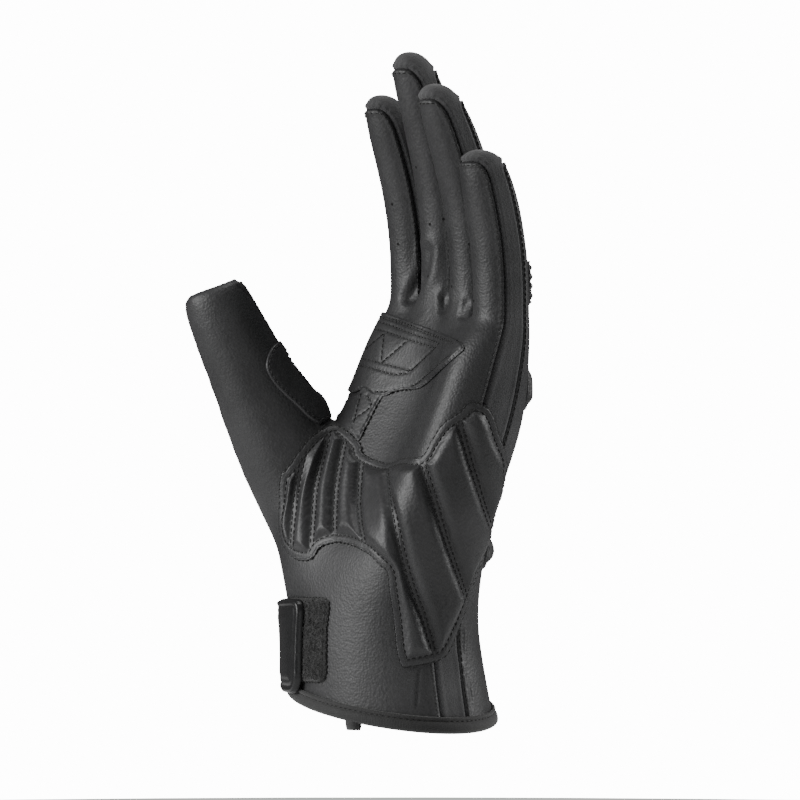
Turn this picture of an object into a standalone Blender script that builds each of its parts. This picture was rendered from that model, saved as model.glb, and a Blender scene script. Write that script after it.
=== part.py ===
"""A left-hand leather motorcycle glove, shaped as it sits on a hand that reaches forward to grip.

Metres, +Z up along the hand. The palm faces -Y, the back of the hand +Y, the thumb is on the -X side
and the little finger on the +X side. The origin is the middle of the cuff's opening.
"""

import math
from collections import namedtuple

import bmesh
import bpy
from mathutils import Vector
from mathutils.bvhtree import BVHTree

MM = 0.001

# Driving sizes
HAND_LENGTH = 144 * MM  # from the middle of the cuff's rim to the finger crotches
PALM_DEPTH = 34 * MM  # through the hand, from palm to back
FINGER_LENGTH = 93 * MM  # middle finger, from its crotch to its tip
FINGER_WIDTH = 20.0 * MM
FINGER_GAP = 1.0 * MM  # daylight between two neighbouring fingers
PALM_MARGIN = 7 * MM  # the palm is this much wider than the row of fingers
THUMB_WIDTH = 26 * MM
PALM_WIDTH = 4 * FINGER_WIDTH + 3 * FINGER_GAP + PALM_MARGIN
WALL = 1.4 * MM  # leather of the hand
PIECE_GAP = 0.4 * MM  # between two pieces sewn together, and under one that lies on another
PATCH = 1.1 * MM  # leather or cloth sewn on top
PAD_HEIGHT = 2.6 * MM  # the palm pad at its cushions
PAD_SEAM_HEIGHT = 1.2 * MM  # and where it is sewn down
CHANNEL_WIDTH = 2.2 * MM  # between two cushions
STRAP_THICKNESS = 2.4 * MM
STRAP_HEIGHT = 34 * MM
LOOP_HEIGHT = 30 * MM
BINDING = 1.0 * MM  # thickness of the tape round the cuff
BINDING_HEIGHT = 5.0 * MM
KNUCKLE_PAD = 2.6 * MM
WRIST_ROLL = 3.6 * MM
VIEW_TURN = math.radians(58)  # outlines are drawn as seen from this far towards the little finger

SUBDIVISION = 1
FINGER_FACETS = 8
CAGE_SWELL = 1.108  # a smoothed eight-sided cage shrinks by this much
THUMB_SWELL = 1.047  # and a twelve-sided one by this much

# One row for each ring of the hand, from the cuff up. up is a share of HAND_LENGTH; across, back and
# width are shares of PALM_WIDTH; the rest are shares of PALM_DEPTH. boxy goes from 0, an oval, to 1, a flat hand.
Ring = namedtuple("Ring", "up across back width palm_side back_side thenar heel hollow boxy")
RINGS = (
    Ring(0.000, 0.008, 0.000, 0.97, 1.02, 1.00, 0.00, 0.00, 0.00, 0.0),
    Ring(0.200, -0.004, -0.025, 0.85, 0.92, 0.85, 0.02, 0.00, 0.00, 0.1),
    Ring(0.360, 0.010, 0.002, 0.90, 0.84, 0.79, 0.30, 0.06, 0.00, 0.2),
    Ring(0.470, 0.025, 0.045, 0.94, 0.66, 0.70, 0.46, 0.16, 0.00, 0.4),
    Ring(0.580, 0.045, 0.085, 0.96, 0.48, 0.65, 0.42, 0.26, 0.00, 0.6),
    Ring(0.690, 0.070, 0.130, 0.97, 0.36, 0.61, 0.30, 0.34, 0.02, 0.8),
    Ring(0.800, 0.095, 0.170, 0.97, 0.30, 0.50, 0.20, 0.34, 0.06, 0.9),
    Ring(0.905, 0.118, 0.200, 0.95, 0.30, 0.37, 0.12, 0.24, 0.06, 1.0),
)
COLUMNS = 9  # ring points across the palm, and as many across the back
THENAR_SHAPE = (0.7, 1.0, 0.9, 0.5, 0.1, 0.0, 0.0, 0.0, 0.0)
HEEL_SHAPE = (0.0, 0.0, 0.0, 0.0, 0.0, 0.12, 0.55, 1.0, 0.75)
HOLLOW_SHAPE = (0.0, 0.2, 0.6, 1.0, 1.0, 1.0, 0.5, 0.0, 0.0)
OVAL_STEP = math.radians(18)
CUFF_SLANT = 0.18  # the cuff's rim drops by this share of the way across, towards the little finger
SLANT_TOP = 0.24  # and is level again at this share of HAND_LENGTH
CORNER_DEPTH = 0.62
TOP_ACROSS = 0.128  # the row of fingers sits this share of PALM_WIDTH towards the little finger

# One row for each finger. crotch is the height of its base in shares of HAND_LENGTH; back is where its
# middle line starts, and curl how far its tip leans towards the palm, in shares of PALM_DEPTH.
Finger = namedtuple("Finger", "name slot crotch length width back curl")
FINGERS = (
    Finger("index", -1.5, 1.000, 0.82, 0.98, 0.68, 0.45),
    Finger("middle", -0.5, 1.000, 0.98, 1.00, 0.695, 0.50),
    Finger("ring", 0.5, 0.980, 0.88, 1.00, 0.655, 0.53),
    Finger("little", 1.5, 0.955, 0.66, 1.01, 0.560, 0.27),
)
# Rings along a finger: how far along it, how wide, and how much of its curl is done there.
Phalanx = namedtuple("Phalanx", "along wide curled")
PHALANXES = (
    Phalanx(0.07, 0.97, 0.00),
    Phalanx(0.35, 1.00, 0.00),
    Phalanx(0.66, 0.99, 0.36),
    Phalanx(0.89, 0.90, 0.80),
    Phalanx(0.985, 0.60, 0.98),
)
TIP = Phalanx(1.02, 0.3, 1.0)

# Rings along the thumb, as the view sees it: across and away are shares of PALM_WIDTH, up a share of
# HAND_LENGTH, lean the turn of the ring from upright, and the rest shares of THUMB_WIDTH.
Knuckle = namedtuple("Knuckle", "across away up lean wide thick")
THUMB = (
    Knuckle(-0.370, 0.235, 0.575, 24, 1.90, 1.22),
    Knuckle(-0.450, 0.229, 0.682, 46, 1.55, 1.14),
    Knuckle(-0.580, 0.216, 0.835, 63, 1.10, 1.02),
    Knuckle(-0.702, 0.200, 1.003, 68, 0.97, 0.84),
    Knuckle(-0.724, 0.197, 1.046, 70, 0.82, 0.66),
)
THUMB_ROWS = (2, 5)  # the thumb leaves the hand between these rings
THUMB_COLUMNS = (2, 1, 0, -1)  # and from these points of theirs, palm side first

PANELS = ("palm_panel", "back_panel") + tuple("gusset_" + finger.name for finger in FINGERS)
GUSSET_EDGE = 0.6  # a face whose points' mean "side" is above this belongs to a gusset

# One row for each piece sewn on: how it is seen, the panels it lies on, how high it stands and its outline,
# in shares of PALM_WIDTH and HAND_LENGTH. depth is how far away its view starts, in shares of PALM_WIDTH.
View = namedtuple("View", "turn front depth")
FROM_PALM = View(VIEW_TURN, True, -1.0)
FROM_BACK = View(0.0, False, 0.1)
Patch = namedtuple("Patch", "name view panels height outline")
PATCHES = (
    Patch("palm_pad", FROM_PALM, PANELS, PAD_HEIGHT, (
        (-0.444, 0.568), (-0.352, 0.650), (-0.244, 0.695), (-0.152, 0.668), (-0.112, 0.625), (-0.008, 0.603),
        (0.124, 0.623), (0.208, 0.705), (0.320, 0.758), (0.392, 0.730), (0.432, 0.620), (0.405, 0.513),
        (0.370, 0.405), (0.300, 0.263), (0.216, 0.133), (0.052, 0.103), (0.016, 0.163), (-0.012, 0.330),
        (-0.120, 0.393), (-0.228, 0.408), (-0.312, 0.373), (-0.384, 0.368), (-0.440, 0.418), (-0.452, 0.500),
    )),
    Patch("grip_patch", FROM_PALM, ("palm_panel",), PATCH, (
        (-0.104, 0.983), (-0.016, 0.980), (0.128, 0.945), (0.256, 0.908), (0.236, 0.868), (0.184, 0.835),
        (0.104, 0.793), (0.032, 0.790), (-0.040, 0.775), (-0.112, 0.793), (-0.208, 0.813), (-0.168, 0.900),
    )),
    Patch("web_strap", FROM_PALM, ("palm_panel",), PATCH, (
        (-0.120, 0.779), (-0.048, 0.761), (-0.068, 0.740), (-0.100, 0.703), (-0.132, 0.683),
        (-0.164, 0.695), (-0.152, 0.730), (-0.136, 0.763),
    )),
    Patch("thumb_patch", FROM_PALM, ("palm_panel",), PATCH, (
        (-0.452, 0.910), (-0.492, 0.883), (-0.504, 0.853), (-0.472, 0.803), (-0.376, 0.743), (-0.296, 0.703),
        (-0.252, 0.718), (-0.240, 0.750), (-0.296, 0.803), (-0.368, 0.858), (-0.416, 0.898),
    )),
    Patch("knuckle_pad", FROM_BACK, ("back_panel",), KNUCKLE_PAD, (
        (-0.260, 0.745), (-0.100, 0.725), (0.110, 0.715), (0.320, 0.725), (0.480, 0.745), (0.500, 0.800),
        (0.460, 0.850), (0.320, 0.865), (0.110, 0.875), (-0.100, 0.870), (-0.250, 0.850), (-0.285, 0.800),
    )),
    Patch("wrist_roll", FROM_BACK, ("back_panel",), WRIST_ROLL, (
        (-0.300, 0.350), (-0.120, 0.335), (0.030, 0.330), (0.200, 0.335), (0.340, 0.350), (0.350, 0.390),
        (0.320, 0.430), (0.200, 0.440), (0.030, 0.445), (-0.120, 0.440), (-0.280, 0.430), (-0.310, 0.390),
    )),
)
# The lines between the pad's cushions, from their upper ends, drawn like its outline.
CHANNELS = (
    ((-0.348, 0.680), (-0.372, 0.573), (-0.392, 0.340)),
    ((-0.252, 0.720), (-0.280, 0.598), (-0.310, 0.350)),
    ((-0.172, 0.700), (-0.200, 0.598), (-0.222, 0.380)),
    ((-0.104, 0.660), (-0.120, 0.545), (-0.116, 0.365)),
    ((-0.004, 0.635), (0.040, 0.405), (0.180, 0.080)),
    ((0.120, 0.655), (0.200, 0.440), (0.320, 0.220)),
    ((0.250, 0.755), (0.304, 0.613), (0.410, 0.410)),
)
CHANNEL_STEPS = 4
CUT_ROOM = 2 * MM  # how far a cutter runs past what it cuts

FLEX_ENDS = (0.10, 0.36)  # the flex panel on the back of each finger, in shares of its length

# Round the wrist, in degrees about the hand's middle from +X towards +Y, and heights in shares of HAND_LENGTH.
STRAP_ENDS = (95, 261)
STRAP_FOOT = 0.030
LOOP_ENDS = (235, 285)
LOOP_FOOT = 0.062
SECTOR_STEP = 15
PATCH_MARGIN = 14 * MM  # how far round an outline the form is copied before the cut
LEAST_FACING = 0.05  # a patch stops where the form turns away from its view
REACH = 150 * MM  # further than any part of the glove from the hand's middle

# sRGB colour and roughness of each finish
Finish = namedtuple("Finish", "colour roughness")
FINISHES = {
    "goatskin": Finish((0.27, 0.27, 0.27), 0.50),
    "suede": Finish((0.22, 0.22, 0.22), 0.90),
    "pad_leather": Finish((0.25, 0.25, 0.25), 0.55),
    "loop_cloth": Finish((0.05, 0.05, 0.05), 1.00),
    "moulded_strap": Finish((0.10, 0.10, 0.10), 0.35),
    "binding_tape": Finish((0.08, 0.08, 0.08), 0.80),
}


def seen(across, up, away=0.0, turn=VIEW_TURN):
    """The point that a view from this turn sees this far across and up, and this far away."""
    return Vector((
        across * math.cos(turn) - away * math.sin(turn),
        across * math.sin(turn) + away * math.cos(turn),
        up,
    ))


def ring_points(ring):
    """The ring's points: palm side from thumb to little finger, little finger's side, back, thumb's side."""
    centre = Vector((ring.across * PALM_WIDTH, ring.back * PALM_WIDTH, ring.up * HAND_LENGTH))
    half = ring.width * PALM_WIDTH / 2
    slant = CUFF_SLANT * max(0.0, 1 - ring.up / SLANT_TOP)

    def point(column, depth, side):
        step = (column - (COLUMNS - 1) / 2) / ((COLUMNS - 1) / 2)
        angle = (column - (COLUMNS - 1) / 2) * OVAL_STEP
        across = (1 - ring.boxy) * math.sin(angle) + ring.boxy * step
        flat = CORNER_DEPTH if column in (0, COLUMNS - 1) else 1.0
        deep = (1 - ring.boxy) * math.cos(angle) + ring.boxy * flat
        return centre + Vector((half * across, side * depth * deep * PALM_DEPTH, -slant * half * across))

    palm, back = [], []
    for column in range(COLUMNS):
        lift = ring.thenar * THENAR_SHAPE[column] + ring.heel * HEEL_SHAPE[column]
        lift -= ring.hollow * HOLLOW_SHAPE[column]
        point_here = point(column, ring.palm_side, -1)
        palm.append(point_here - Vector((0, lift * PALM_DEPTH, 0)))
        back.append(point(column, ring.back_side, 1))
    side = half * (1.0 + 0.04 * ring.boxy) * Vector((1, 0, -slant))
    return palm + [centre + side] + back[::-1] + [centre - side]


def finger_across(finger):
    """How far across the finger stands."""
    return TOP_ACROSS * PALM_WIDTH + finger.slot * (FINGER_WIDTH + FINGER_GAP)


def finger_ring(finger, along, wide, curled):
    """The eight points round a finger, palm side first, at this share of its length."""
    centre = Vector((
        finger_across(finger),
        (finger.back - finger.curl * curled) * PALM_DEPTH,
        finger.crotch * HAND_LENGTH + along * finger.length * FINGER_LENGTH,
    ))
    radius = CAGE_SWELL * wide * finger.width * FINGER_WIDTH / 2
    ring = []
    for facet in range(FINGER_FACETS):
        angle = math.radians(-135 + 360 / FINGER_FACETS * facet)
        ring.append(centre + radius * Vector((math.cos(angle), math.sin(angle), 0)))
    return ring


def crotch_ring():
    """The hand's last ring, where neighbouring fingers share a point, and the points in the crotches."""
    rings = [finger_ring(finger, 0, 1, 0) for finger in FINGERS]
    palm, back, webs = [rings[0][0]], [rings[0][6]], []
    for number, ring in enumerate(rings):
        palm.append(ring[1])
        back.append(ring[5])
        if number + 1 < len(rings):
            beside = rings[number + 1]
            palm.append((ring[2] + beside[0]) / 2)
            back.append((ring[4] + beside[6]) / 2)
            webs.append((palm[-1] + back[-1]) / 2)
        else:
            palm.append(ring[2])
            back.append(ring[4])
    return palm + [rings[-1][3]] + back[::-1] + [rings[0][7]], webs


def thumb_rings():
    """The thumb's rings, from its root to its tip."""
    rings = []
    away = seen(0, 0, 1)
    for knuckle in THUMB:
        centre = seen(knuckle.across * PALM_WIDTH, knuckle.up * HAND_LENGTH, knuckle.away * PALM_WIDTH)
        lean = math.radians(knuckle.lean)
        towards_web = seen(math.sin(lean), math.cos(lean))
        ring = []
        for facet in range(12):
            angle = math.radians(-45 + 30 * facet)
            ring.append(
                centre
                + towards_web * (math.cos(angle) * THUMB_SWELL * knuckle.wide * THUMB_WIDTH / 2)
                + away * (math.sin(angle) * THUMB_SWELL * knuckle.thick * THUMB_WIDTH / 2)
            )
        rings.append(ring)
    return rings


def hand_cage():
    """The coarse cage of the whole glove's outer surface, open at the cuff.

    A face's material index is its panel in PANELS. "side" is 1 along the middle of the gussets, which are
    split off once the form is smooth.
    """
    cage = bmesh.new()
    side = cage.verts.layers.float.new("side")

    def add(points, side_points=()):
        verts = [cage.verts.new(point) for point in points]
        for number in side_points:
            verts[number][side] = 1.0
        return verts

    def face(corners, on_back=False):
        cage.faces.new(corners).material_index = PANELS.index("back_panel" if on_back else "palm_panel")

    top, webs = crotch_ring()
    count = len(top)
    first, last = THUMB_ROWS
    rows = []
    for points in [ring_points(ring) for ring in RINGS] + [top]:
        has_thumb_side = len(rows) >= last
        rows.append(add(points, (COLUMNS, count - 1) if has_thumb_side else (COLUMNS,)))
    thumb_sides = [column % count for column in THUMB_COLUMNS[1:]]
    for low in range(len(rows) - 1):
        for i in range(count):
            if first <= low < last and i in thumb_sides:
                continue
            j = (i + 1) % count
            on_back = COLUMNS <= i < count - 1
            face((rows[low][i], rows[low][j], rows[low + 1][j], rows[low + 1][i]), on_back)

    top = rows[-1]
    palm_top, back_top = top[:COLUMNS], top[COLUMNS + 1:2 * COLUMNS + 1][::-1]
    sides = [top[-1]] + add(webs, range(len(webs))) + [top[COLUMNS]]
    for number, finger in enumerate(FINGERS):
        a = 2 * number
        below = [palm_top[a], palm_top[a + 1], palm_top[a + 2], sides[number + 1],
                 back_top[a + 2], back_top[a + 1], back_top[a], sides[number]]
        for phalanx in PHALANXES:
            sewn_over = range(FINGER_FACETS) if phalanx is PHALANXES[-1] else (3, 7)
            above = add(finger_ring(finger, *phalanx), sewn_over)
            for i in range(FINGER_FACETS):
                j = (i + 1) % FINGER_FACETS
                face((below[i], below[j], above[j], above[i]), 3 <= i <= 6)
            below = above
        tip = add([sum(finger_ring(finger, *TIP), Vector()) / FINGER_FACETS], [0])[0]
        for i in range(1, FINGER_FACETS, 2):
            face((below[i - 1], below[i], tip, below[i - 2]))

    across = THUMB_COLUMNS
    loop = [rows[last][column] for column in across]
    loop += [rows[row][across[-1]] for row in range(last - 1, first, -1)]
    loop += [rows[first][column] for column in across[::-1]]
    loop += [rows[row][across[0]] for row in range(first + 1, last)]
    below = loop
    for ring in thumb_rings():
        above = add(ring)
        for i in range(len(ring)):
            j = (i + 1) % len(ring)
            face((below[i], below[j], above[j], above[i]), 1 <= i <= 6)
        below = above
    middle = sum((v.co for v in below), Vector()) / len(below)
    inner = add([middle.lerp(below[corner].co, 0.45) for corner in (0, 3, 6, 9)])
    for i in range(4):
        start = 3 * i
        here, there = inner[i], inner[(i + 1) % 4]
        face((below[start + 1], below[start + 2], there, here))
        face((below[start - 1], below[start], below[start + 1], here))
    face(inner)
    bmesh.ops.recalc_face_normals(cage, faces=cage.faces)
    return cage


def smooth_form():
    """The glove's outer surface in triangles, and its rim: each point with the one above it."""
    cage = hand_cage()
    mesh = bpy.data.meshes.new("form")
    cage.to_mesh(mesh)
    cage.free()
    rough = bpy.data.objects.new("form", mesh)
    bpy.context.scene.collection.objects.link(rough)
    smooth = rough.modifiers.new("smooth", "SUBSURF")
    smooth.levels = smooth.render_levels = SUBDIVISION
    bpy.context.view_layer.update()
    evaluated = rough.evaluated_get(bpy.context.evaluated_depsgraph_get())
    form = bmesh.new()
    form.from_mesh(evaluated.to_mesh())
    evaluated.to_mesh_clear()
    bpy.data.objects.remove(rough)
    bpy.data.meshes.remove(mesh)

    side = form.verts.layers.float["side"]
    for part in form.faces:
        if sum(v[side] for v in part.verts) / len(part.verts) > GUSSET_EDGE:
            across = part.calc_center_median().x
            nearest = min(FINGERS, key=lambda finger: abs(finger_across(finger) - across))
            part.material_index = PANELS.index("gusset_" + nearest.name)
    rim = []
    for v in form.verts:
        if v.is_boundary:
            above = [e.other_vert(v) for e in v.link_edges if not e.is_boundary]
            rim.append((v, above[0]))
    bmesh.ops.triangulate(form, faces=form.faces, quad_method="FIXED")
    form.normal_update()
    form.verts.ensure_lookup_table()
    form.verts.index_update()
    form.faces.index_update()
    return form, rim


def seam_shift(v, region):
    """How far a border point of the region moves into it, so that two panels keep their gap."""
    if region is None:
        return Vector()
    inward = []
    for edge in v.link_edges:
        inside = [f for f in edge.link_faces if f.index in region]
        if len(inside) == 1 and not edge.is_boundary:
            along = (edge.other_vert(v).co - v.co).normalized()
            across = v.normal.cross(along).normalized()
            into = inside[0].calc_center_median() - v.co
            inward.append(across if across.dot(into) > 0 else -across)
    if not inward:
        return Vector()
    total = sum(inward, Vector())
    share = max(0.5, 1 + inward[0].dot(inward[-1])) if len(inward) > 1 else 1.0
    return total * (PIECE_GAP / 2 / share)


def wall(name, faces, low, high, sewn=False):
    """A closed wall over these faces of the form, from low to high above it; both may be negative."""
    region = {f.index for f in faces}
    shell = bmesh.new()
    lower, upper = {}, {}
    for f in faces:
        for v in f.verts:
            if v.index not in lower:
                start = v.co + seam_shift(v, region if sewn else None)
                lower[v.index] = shell.verts.new(start + v.normal * low)
                upper[v.index] = shell.verts.new(start + v.normal * high)
    for f in faces:
        a, b, c = (v.index for v in f.verts)
        shell.faces.new((upper[a], upper[b], upper[c]))
        shell.faces.new((lower[c], lower[b], lower[a]))
        for edge in f.edges:
            if sum(other.index in region for other in edge.link_faces) == 1:
                p, q = edge.verts[0].index, edge.verts[1].index
                corners = [v.index for v in f.verts]
                if corners[(corners.index(p) + 1) % 3] != q:
                    p, q = q, p
                shell.faces.new((upper[p], lower[p], lower[q]))
                shell.faces.new((upper[p], lower[q], upper[q]))
    return as_object(name, shell)


def as_object(name, shape):
    """A new object of the bmesh, which is freed."""
    mesh = bpy.data.meshes.new(name)
    shape.to_mesh(mesh)
    shape.free()
    return bpy.data.objects.new(name, mesh)


def loft(rings, closed=False):
    """A closed bmesh through rings of as many points each; closed joins the last ring to the first."""
    shape = bmesh.new()
    rows = [[shape.verts.new(point) for point in ring] for ring in rings]
    pairs = list(zip(rows, rows[1:]))
    if closed:
        pairs.append((rows[-1], rows[0]))
    else:
        shape.faces.new(rows[0][::-1])
        shape.faces.new(rows[-1])
    for low, high in pairs:
        for i in range(len(low)):
            j = (i + 1) % len(low)
            shape.faces.new((low[i], low[j], high[j]))
            shape.faces.new((low[i], high[j], high[i]))
    bmesh.ops.recalc_face_normals(shape, faces=shape.faces)
    return shape


def curve_through(points, steps):
    """Points along a smooth curve through these, with this many steps from each to the next."""
    points = [Vector(point) for point in points]
    points = [2 * points[0] - points[1]] + points + [2 * points[-1] - points[-2]]
    curve = []
    for a, b, c, d in zip(points, points[1:], points[2:], points[3:]):
        for step in range(steps):
            t = step / steps
            curve.append(
                b + (c - a) * (t / 2) + (2 * a - 5 * b + 4 * c - d) * (t * t / 2)
                + (3 * b - a - 3 * c + d) * (t ** 3 / 2)
            )
    return curve + [points[-2]]


def on_view(shares):
    """Points of the view, in metres, from shares of PALM_WIDTH and HAND_LENGTH."""
    return [(across * PALM_WIDTH, up * HAND_LENGTH) for across, up in shares]


def as_cutter(name, shape):
    """A hidden object that only cuts."""
    cutter = as_object(name, shape)
    cutter.hide_render = True
    cutter.display_type = "WIRE"
    cutter_group.objects.link(cutter)
    return cutter


def cut(thing, cutter, operation):
    """Add a Boolean by this cutter."""
    boolean = thing.modifiers.new(cutter.name, "BOOLEAN")
    boolean.operation = operation
    boolean.solver = "EXACT"
    boolean.object = cutter


def prism(name, outline, turn):
    """A cutter that runs the outline right through the glove along the view."""
    return as_cutter(name, loft([[seen(*point, away, turn) for point in outline] for away in (-REACH, REACH)]))


def sector(name, start, end, low, high):
    """A cutter round the wrist, between two turns about the hand and two heights."""
    steps = max(2, math.ceil(abs(end - start) / SECTOR_STEP))
    outline = [(0.0, 0.0)]
    for step in range(steps + 1):
        angle = math.radians(start + (end - start) * step / steps)
        outline.append((REACH * math.cos(angle), REACH * math.sin(angle)))
    return as_cutter(name, loft([[(x, y, up) for x, y in outline] for up in (low, high)]))


def ribbon(form_tree, points, width, low, high):
    """A strip that lies over the front of the form along a line drawn in the view."""
    rings = []
    for i, point in enumerate(points):
        along = (points[min(i + 1, len(points) - 1)] - points[max(i - 1, 0)]).normalized()
        across = Vector((-along.y, along.x)) * (width / 2)
        middle = form_tree.ray_cast(seen(*point, -REACH), seen(0, 0, 1))[0] or seen(*point)
        ring = []
        for side in (-1, 1):
            foot, normal, _, _ = form_tree.find_nearest(middle + seen(*(across * side)))
            ring.append([foot + normal * low, foot + normal * high])
        rings.append([ring[0][0], ring[1][0], ring[1][1], ring[0][1]])
    return loft(rings)


def sewn_patch(form, patch):
    """A patch that follows the form inside an outline drawn in its view."""
    turn, front, depth = patch.view
    outline = [Vector(point) for point in on_view(patch.outline)]
    towards = seen(0, 0, -1 if front else 1, turn)
    right, away = seen(1, 0, 0, turn), seen(0, 0, 1, turn)
    panels = [PANELS.index(panel) for panel in patch.panels]
    low = [min(point[k] for point in outline) - PATCH_MARGIN for k in (0, 1)]
    high = [max(point[k] for point in outline) + PATCH_MARGIN for k in (0, 1)]
    under = []
    for face in form.faces:
        middle = face.calc_center_median()
        place = (middle.dot(right), middle.z)
        inside = all(low[k] < place[k] < high[k] for k in (0, 1)) and middle.dot(away) > depth * PALM_WIDTH
        if inside and face.material_index in panels and face.normal.dot(towards) > LEAST_FACING:
            under.append(face)
    thing = wall(patch.name, under, PIECE_GAP, PIECE_GAP + patch.height)
    cut(thing, prism(patch.name + "_outline", outline, turn), "INTERSECT")
    return thing


def palm_pad(form, patch):
    """The pad across the heel of the hand, with channels sewn down between its cushions."""
    pad = sewn_patch(form, patch)
    tree = BVHTree.FromBMesh(form)
    low = PIECE_GAP + PAD_SEAM_HEIGHT
    high = PIECE_GAP + PAD_HEIGHT + CUT_ROOM
    for number, line in enumerate(CHANNELS):
        points = curve_through(on_view(line), CHANNEL_STEPS)
        channel = ribbon(tree, points, CHANNEL_WIDTH, low, high)
        cut(pad, as_cutter(f"pad_channel_{number + 1}", channel), "DIFFERENCE")
    return pad


def flex_panel(form, finger):
    """The stretch panel on the back of a finger."""
    low, high = (finger.crotch * HAND_LENGTH + share * finger.length * FINGER_LENGTH for share in FLEX_ENDS)
    under = []
    for face in form.faces:
        middle = face.calc_center_median()
        beside = abs(middle.x - finger_across(finger)) < FINGER_WIDTH / 4
        if beside and low < middle.z < high and face.normal.y > LEAST_FACING:
            under.append(face)
    return wall("flex_" + finger.name, under, PIECE_GAP, PIECE_GAP + PATCH)


def round_wrist(form, name, ends, foot, height, lift, thickness):
    """A band over the wrist between two turns, starting at this share of HAND_LENGTH."""
    low = foot * HAND_LENGTH
    under = [face for face in form.faces if face.calc_center_median().z < low + height + PATCH_MARGIN]
    band = wall(name, under, lift, lift + thickness)
    cut(band, sector(name + "_outline", *ends, low, low + height), "INTERSECT")
    return band


def cuff_binding(rim):
    """The tape folded over the cuff's rim and sewn through both sides."""
    centre = sum((v.co for v, _ in rim), Vector()) / len(rim)
    rim = sorted(rim, key=lambda pair: math.atan2(pair[0].co.y - centre.y, pair[0].co.x - centre.x))
    rings = []
    for v, above in rim:
        up = (above.co - v.co).normalized()
        out = v.normal
        outside, inside = PIECE_GAP, -WALL - PIECE_GAP
        ring = []
        for across, along in (
            (outside, BINDING_HEIGHT), (outside, -PIECE_GAP), (inside, -PIECE_GAP), (inside, BINDING_HEIGHT),
            (inside - BINDING, BINDING_HEIGHT), (inside - BINDING, -PIECE_GAP - BINDING),
            (outside + BINDING, -PIECE_GAP - BINDING), (outside + BINDING, BINDING_HEIGHT),
        ):
            ring.append(v.co + out * across + up * along)
        rings.append(ring)
    return as_object("cuff_binding", loft(rings, closed=True))


def material(name):
    """The Principled material of this finish."""
    finish = FINISHES[name]
    made = bpy.data.materials.new(name)
    made.use_nodes = True
    shader = made.node_tree.nodes["Principled BSDF"]
    linear = [((c + 0.055) / 1.055) ** 2.4 for c in finish.colour]
    shader.inputs["Base Color"].default_value = (*linear, 1.0)
    shader.inputs["Roughness"].default_value = finish.roughness
    shader.inputs["Metallic"].default_value = 0.0
    return made


def place(thing, finish):
    """Put a finished piece in the glove's collection."""
    thing.data.materials.append(material(finish))
    for face in thing.data.polygons:
        face.material_index = 0
    thing.data.shade_smooth()
    thing.data.set_sharp_from_angle(angle=math.radians(40))
    glove_group.objects.link(thing)


for old in list(bpy.data.objects):
    bpy.data.objects.remove(old, do_unlink=True)
glove_group = bpy.data.collections.new("motorcycle_glove")
cutter_group = bpy.data.collections.new("cutters")
for group in (glove_group, cutter_group):
    bpy.context.scene.collection.children.link(group)

form, rim = smooth_form()
for number, panel in enumerate(PANELS):
    faces = [face for face in form.faces if face.material_index == number]
    place(wall(panel, faces, -WALL, 0.0, sewn=True), "suede" if panel.startswith("gusset") else "goatskin")
place(cuff_binding(rim), "binding_tape")
for patch in PATCHES:
    make = palm_pad if patch.name == "palm_pad" else sewn_patch
    place(make(form, patch), "pad_leather")
for finger in FINGERS:
    place(flex_panel(form, finger), "goatskin")
place(round_wrist(form, "loop_patch", LOOP_ENDS, LOOP_FOOT, LOOP_HEIGHT, PIECE_GAP, PATCH), "loop_cloth")
over_patch = 2 * PIECE_GAP + PATCH
place(round_wrist(form, "wrist_strap", STRAP_ENDS, STRAP_FOOT, STRAP_HEIGHT, over_patch, STRAP_THICKNESS),
      "moulded_strap")
form.free()
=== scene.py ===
"""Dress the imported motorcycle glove: leather panels, sewn pads and patches, thread, strap and stage."""

import math
from collections import namedtuple

import bmesh
import bpy
import numpy as np
from bpy.props import FloatProperty, IntProperty, PointerProperty, StringProperty
from bpy.types import Operator, Panel, PropertyGroup
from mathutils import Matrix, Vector, noise
from mathutils.bvhtree import BVHTree
from mathutils.geometry import delaunay_2d_cdt
from mathutils.kdtree import KDTree


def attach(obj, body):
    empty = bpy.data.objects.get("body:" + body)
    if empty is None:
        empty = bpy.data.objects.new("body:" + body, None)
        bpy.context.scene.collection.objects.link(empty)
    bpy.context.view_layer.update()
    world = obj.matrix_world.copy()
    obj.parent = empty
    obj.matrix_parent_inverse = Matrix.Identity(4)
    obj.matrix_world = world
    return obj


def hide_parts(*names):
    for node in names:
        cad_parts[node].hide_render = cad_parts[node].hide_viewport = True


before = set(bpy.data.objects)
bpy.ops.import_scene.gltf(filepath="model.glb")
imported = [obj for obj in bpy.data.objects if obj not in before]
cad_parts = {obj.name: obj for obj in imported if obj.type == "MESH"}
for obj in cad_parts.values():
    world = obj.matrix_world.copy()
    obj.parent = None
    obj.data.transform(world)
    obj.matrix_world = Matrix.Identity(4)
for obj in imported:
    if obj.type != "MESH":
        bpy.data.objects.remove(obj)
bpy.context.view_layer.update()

bl_info = {
    "name": "Motorcycle Glove",
    "version": (1, 0, 0),
    "blender": (4, 5, 0),
    "location": "3D View > Sidebar > Glove",
    "description": "Leather, thread and trim for a motorcycle glove on its packed model",
    "category": "Object",
}

MM = 0.001

# Sizes and shares of the hand, the same as in the imported model
HAND_LENGTH = 144 * MM
PALM_DEPTH = 34 * MM
FINGER_LENGTH = 93 * MM
FINGER_WIDTH = 20.0 * MM
FINGER_GAP = 1.0 * MM
PALM_WIDTH = 90 * MM
THUMB_WIDTH = 26 * MM
VIEW_TURN = math.radians(58)
CAGE_SWELL = 1.108
THUMB_SWELL = 1.047
FINGER_FACETS = 8
COLUMNS = 9
OVAL_STEP = math.radians(18)
CUFF_SLANT = 0.18
SLANT_TOP = 0.24
CORNER_DEPTH = 0.62
TOP_ACROSS = 0.128
REACH = 150 * MM
FINENESS = 4

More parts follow.
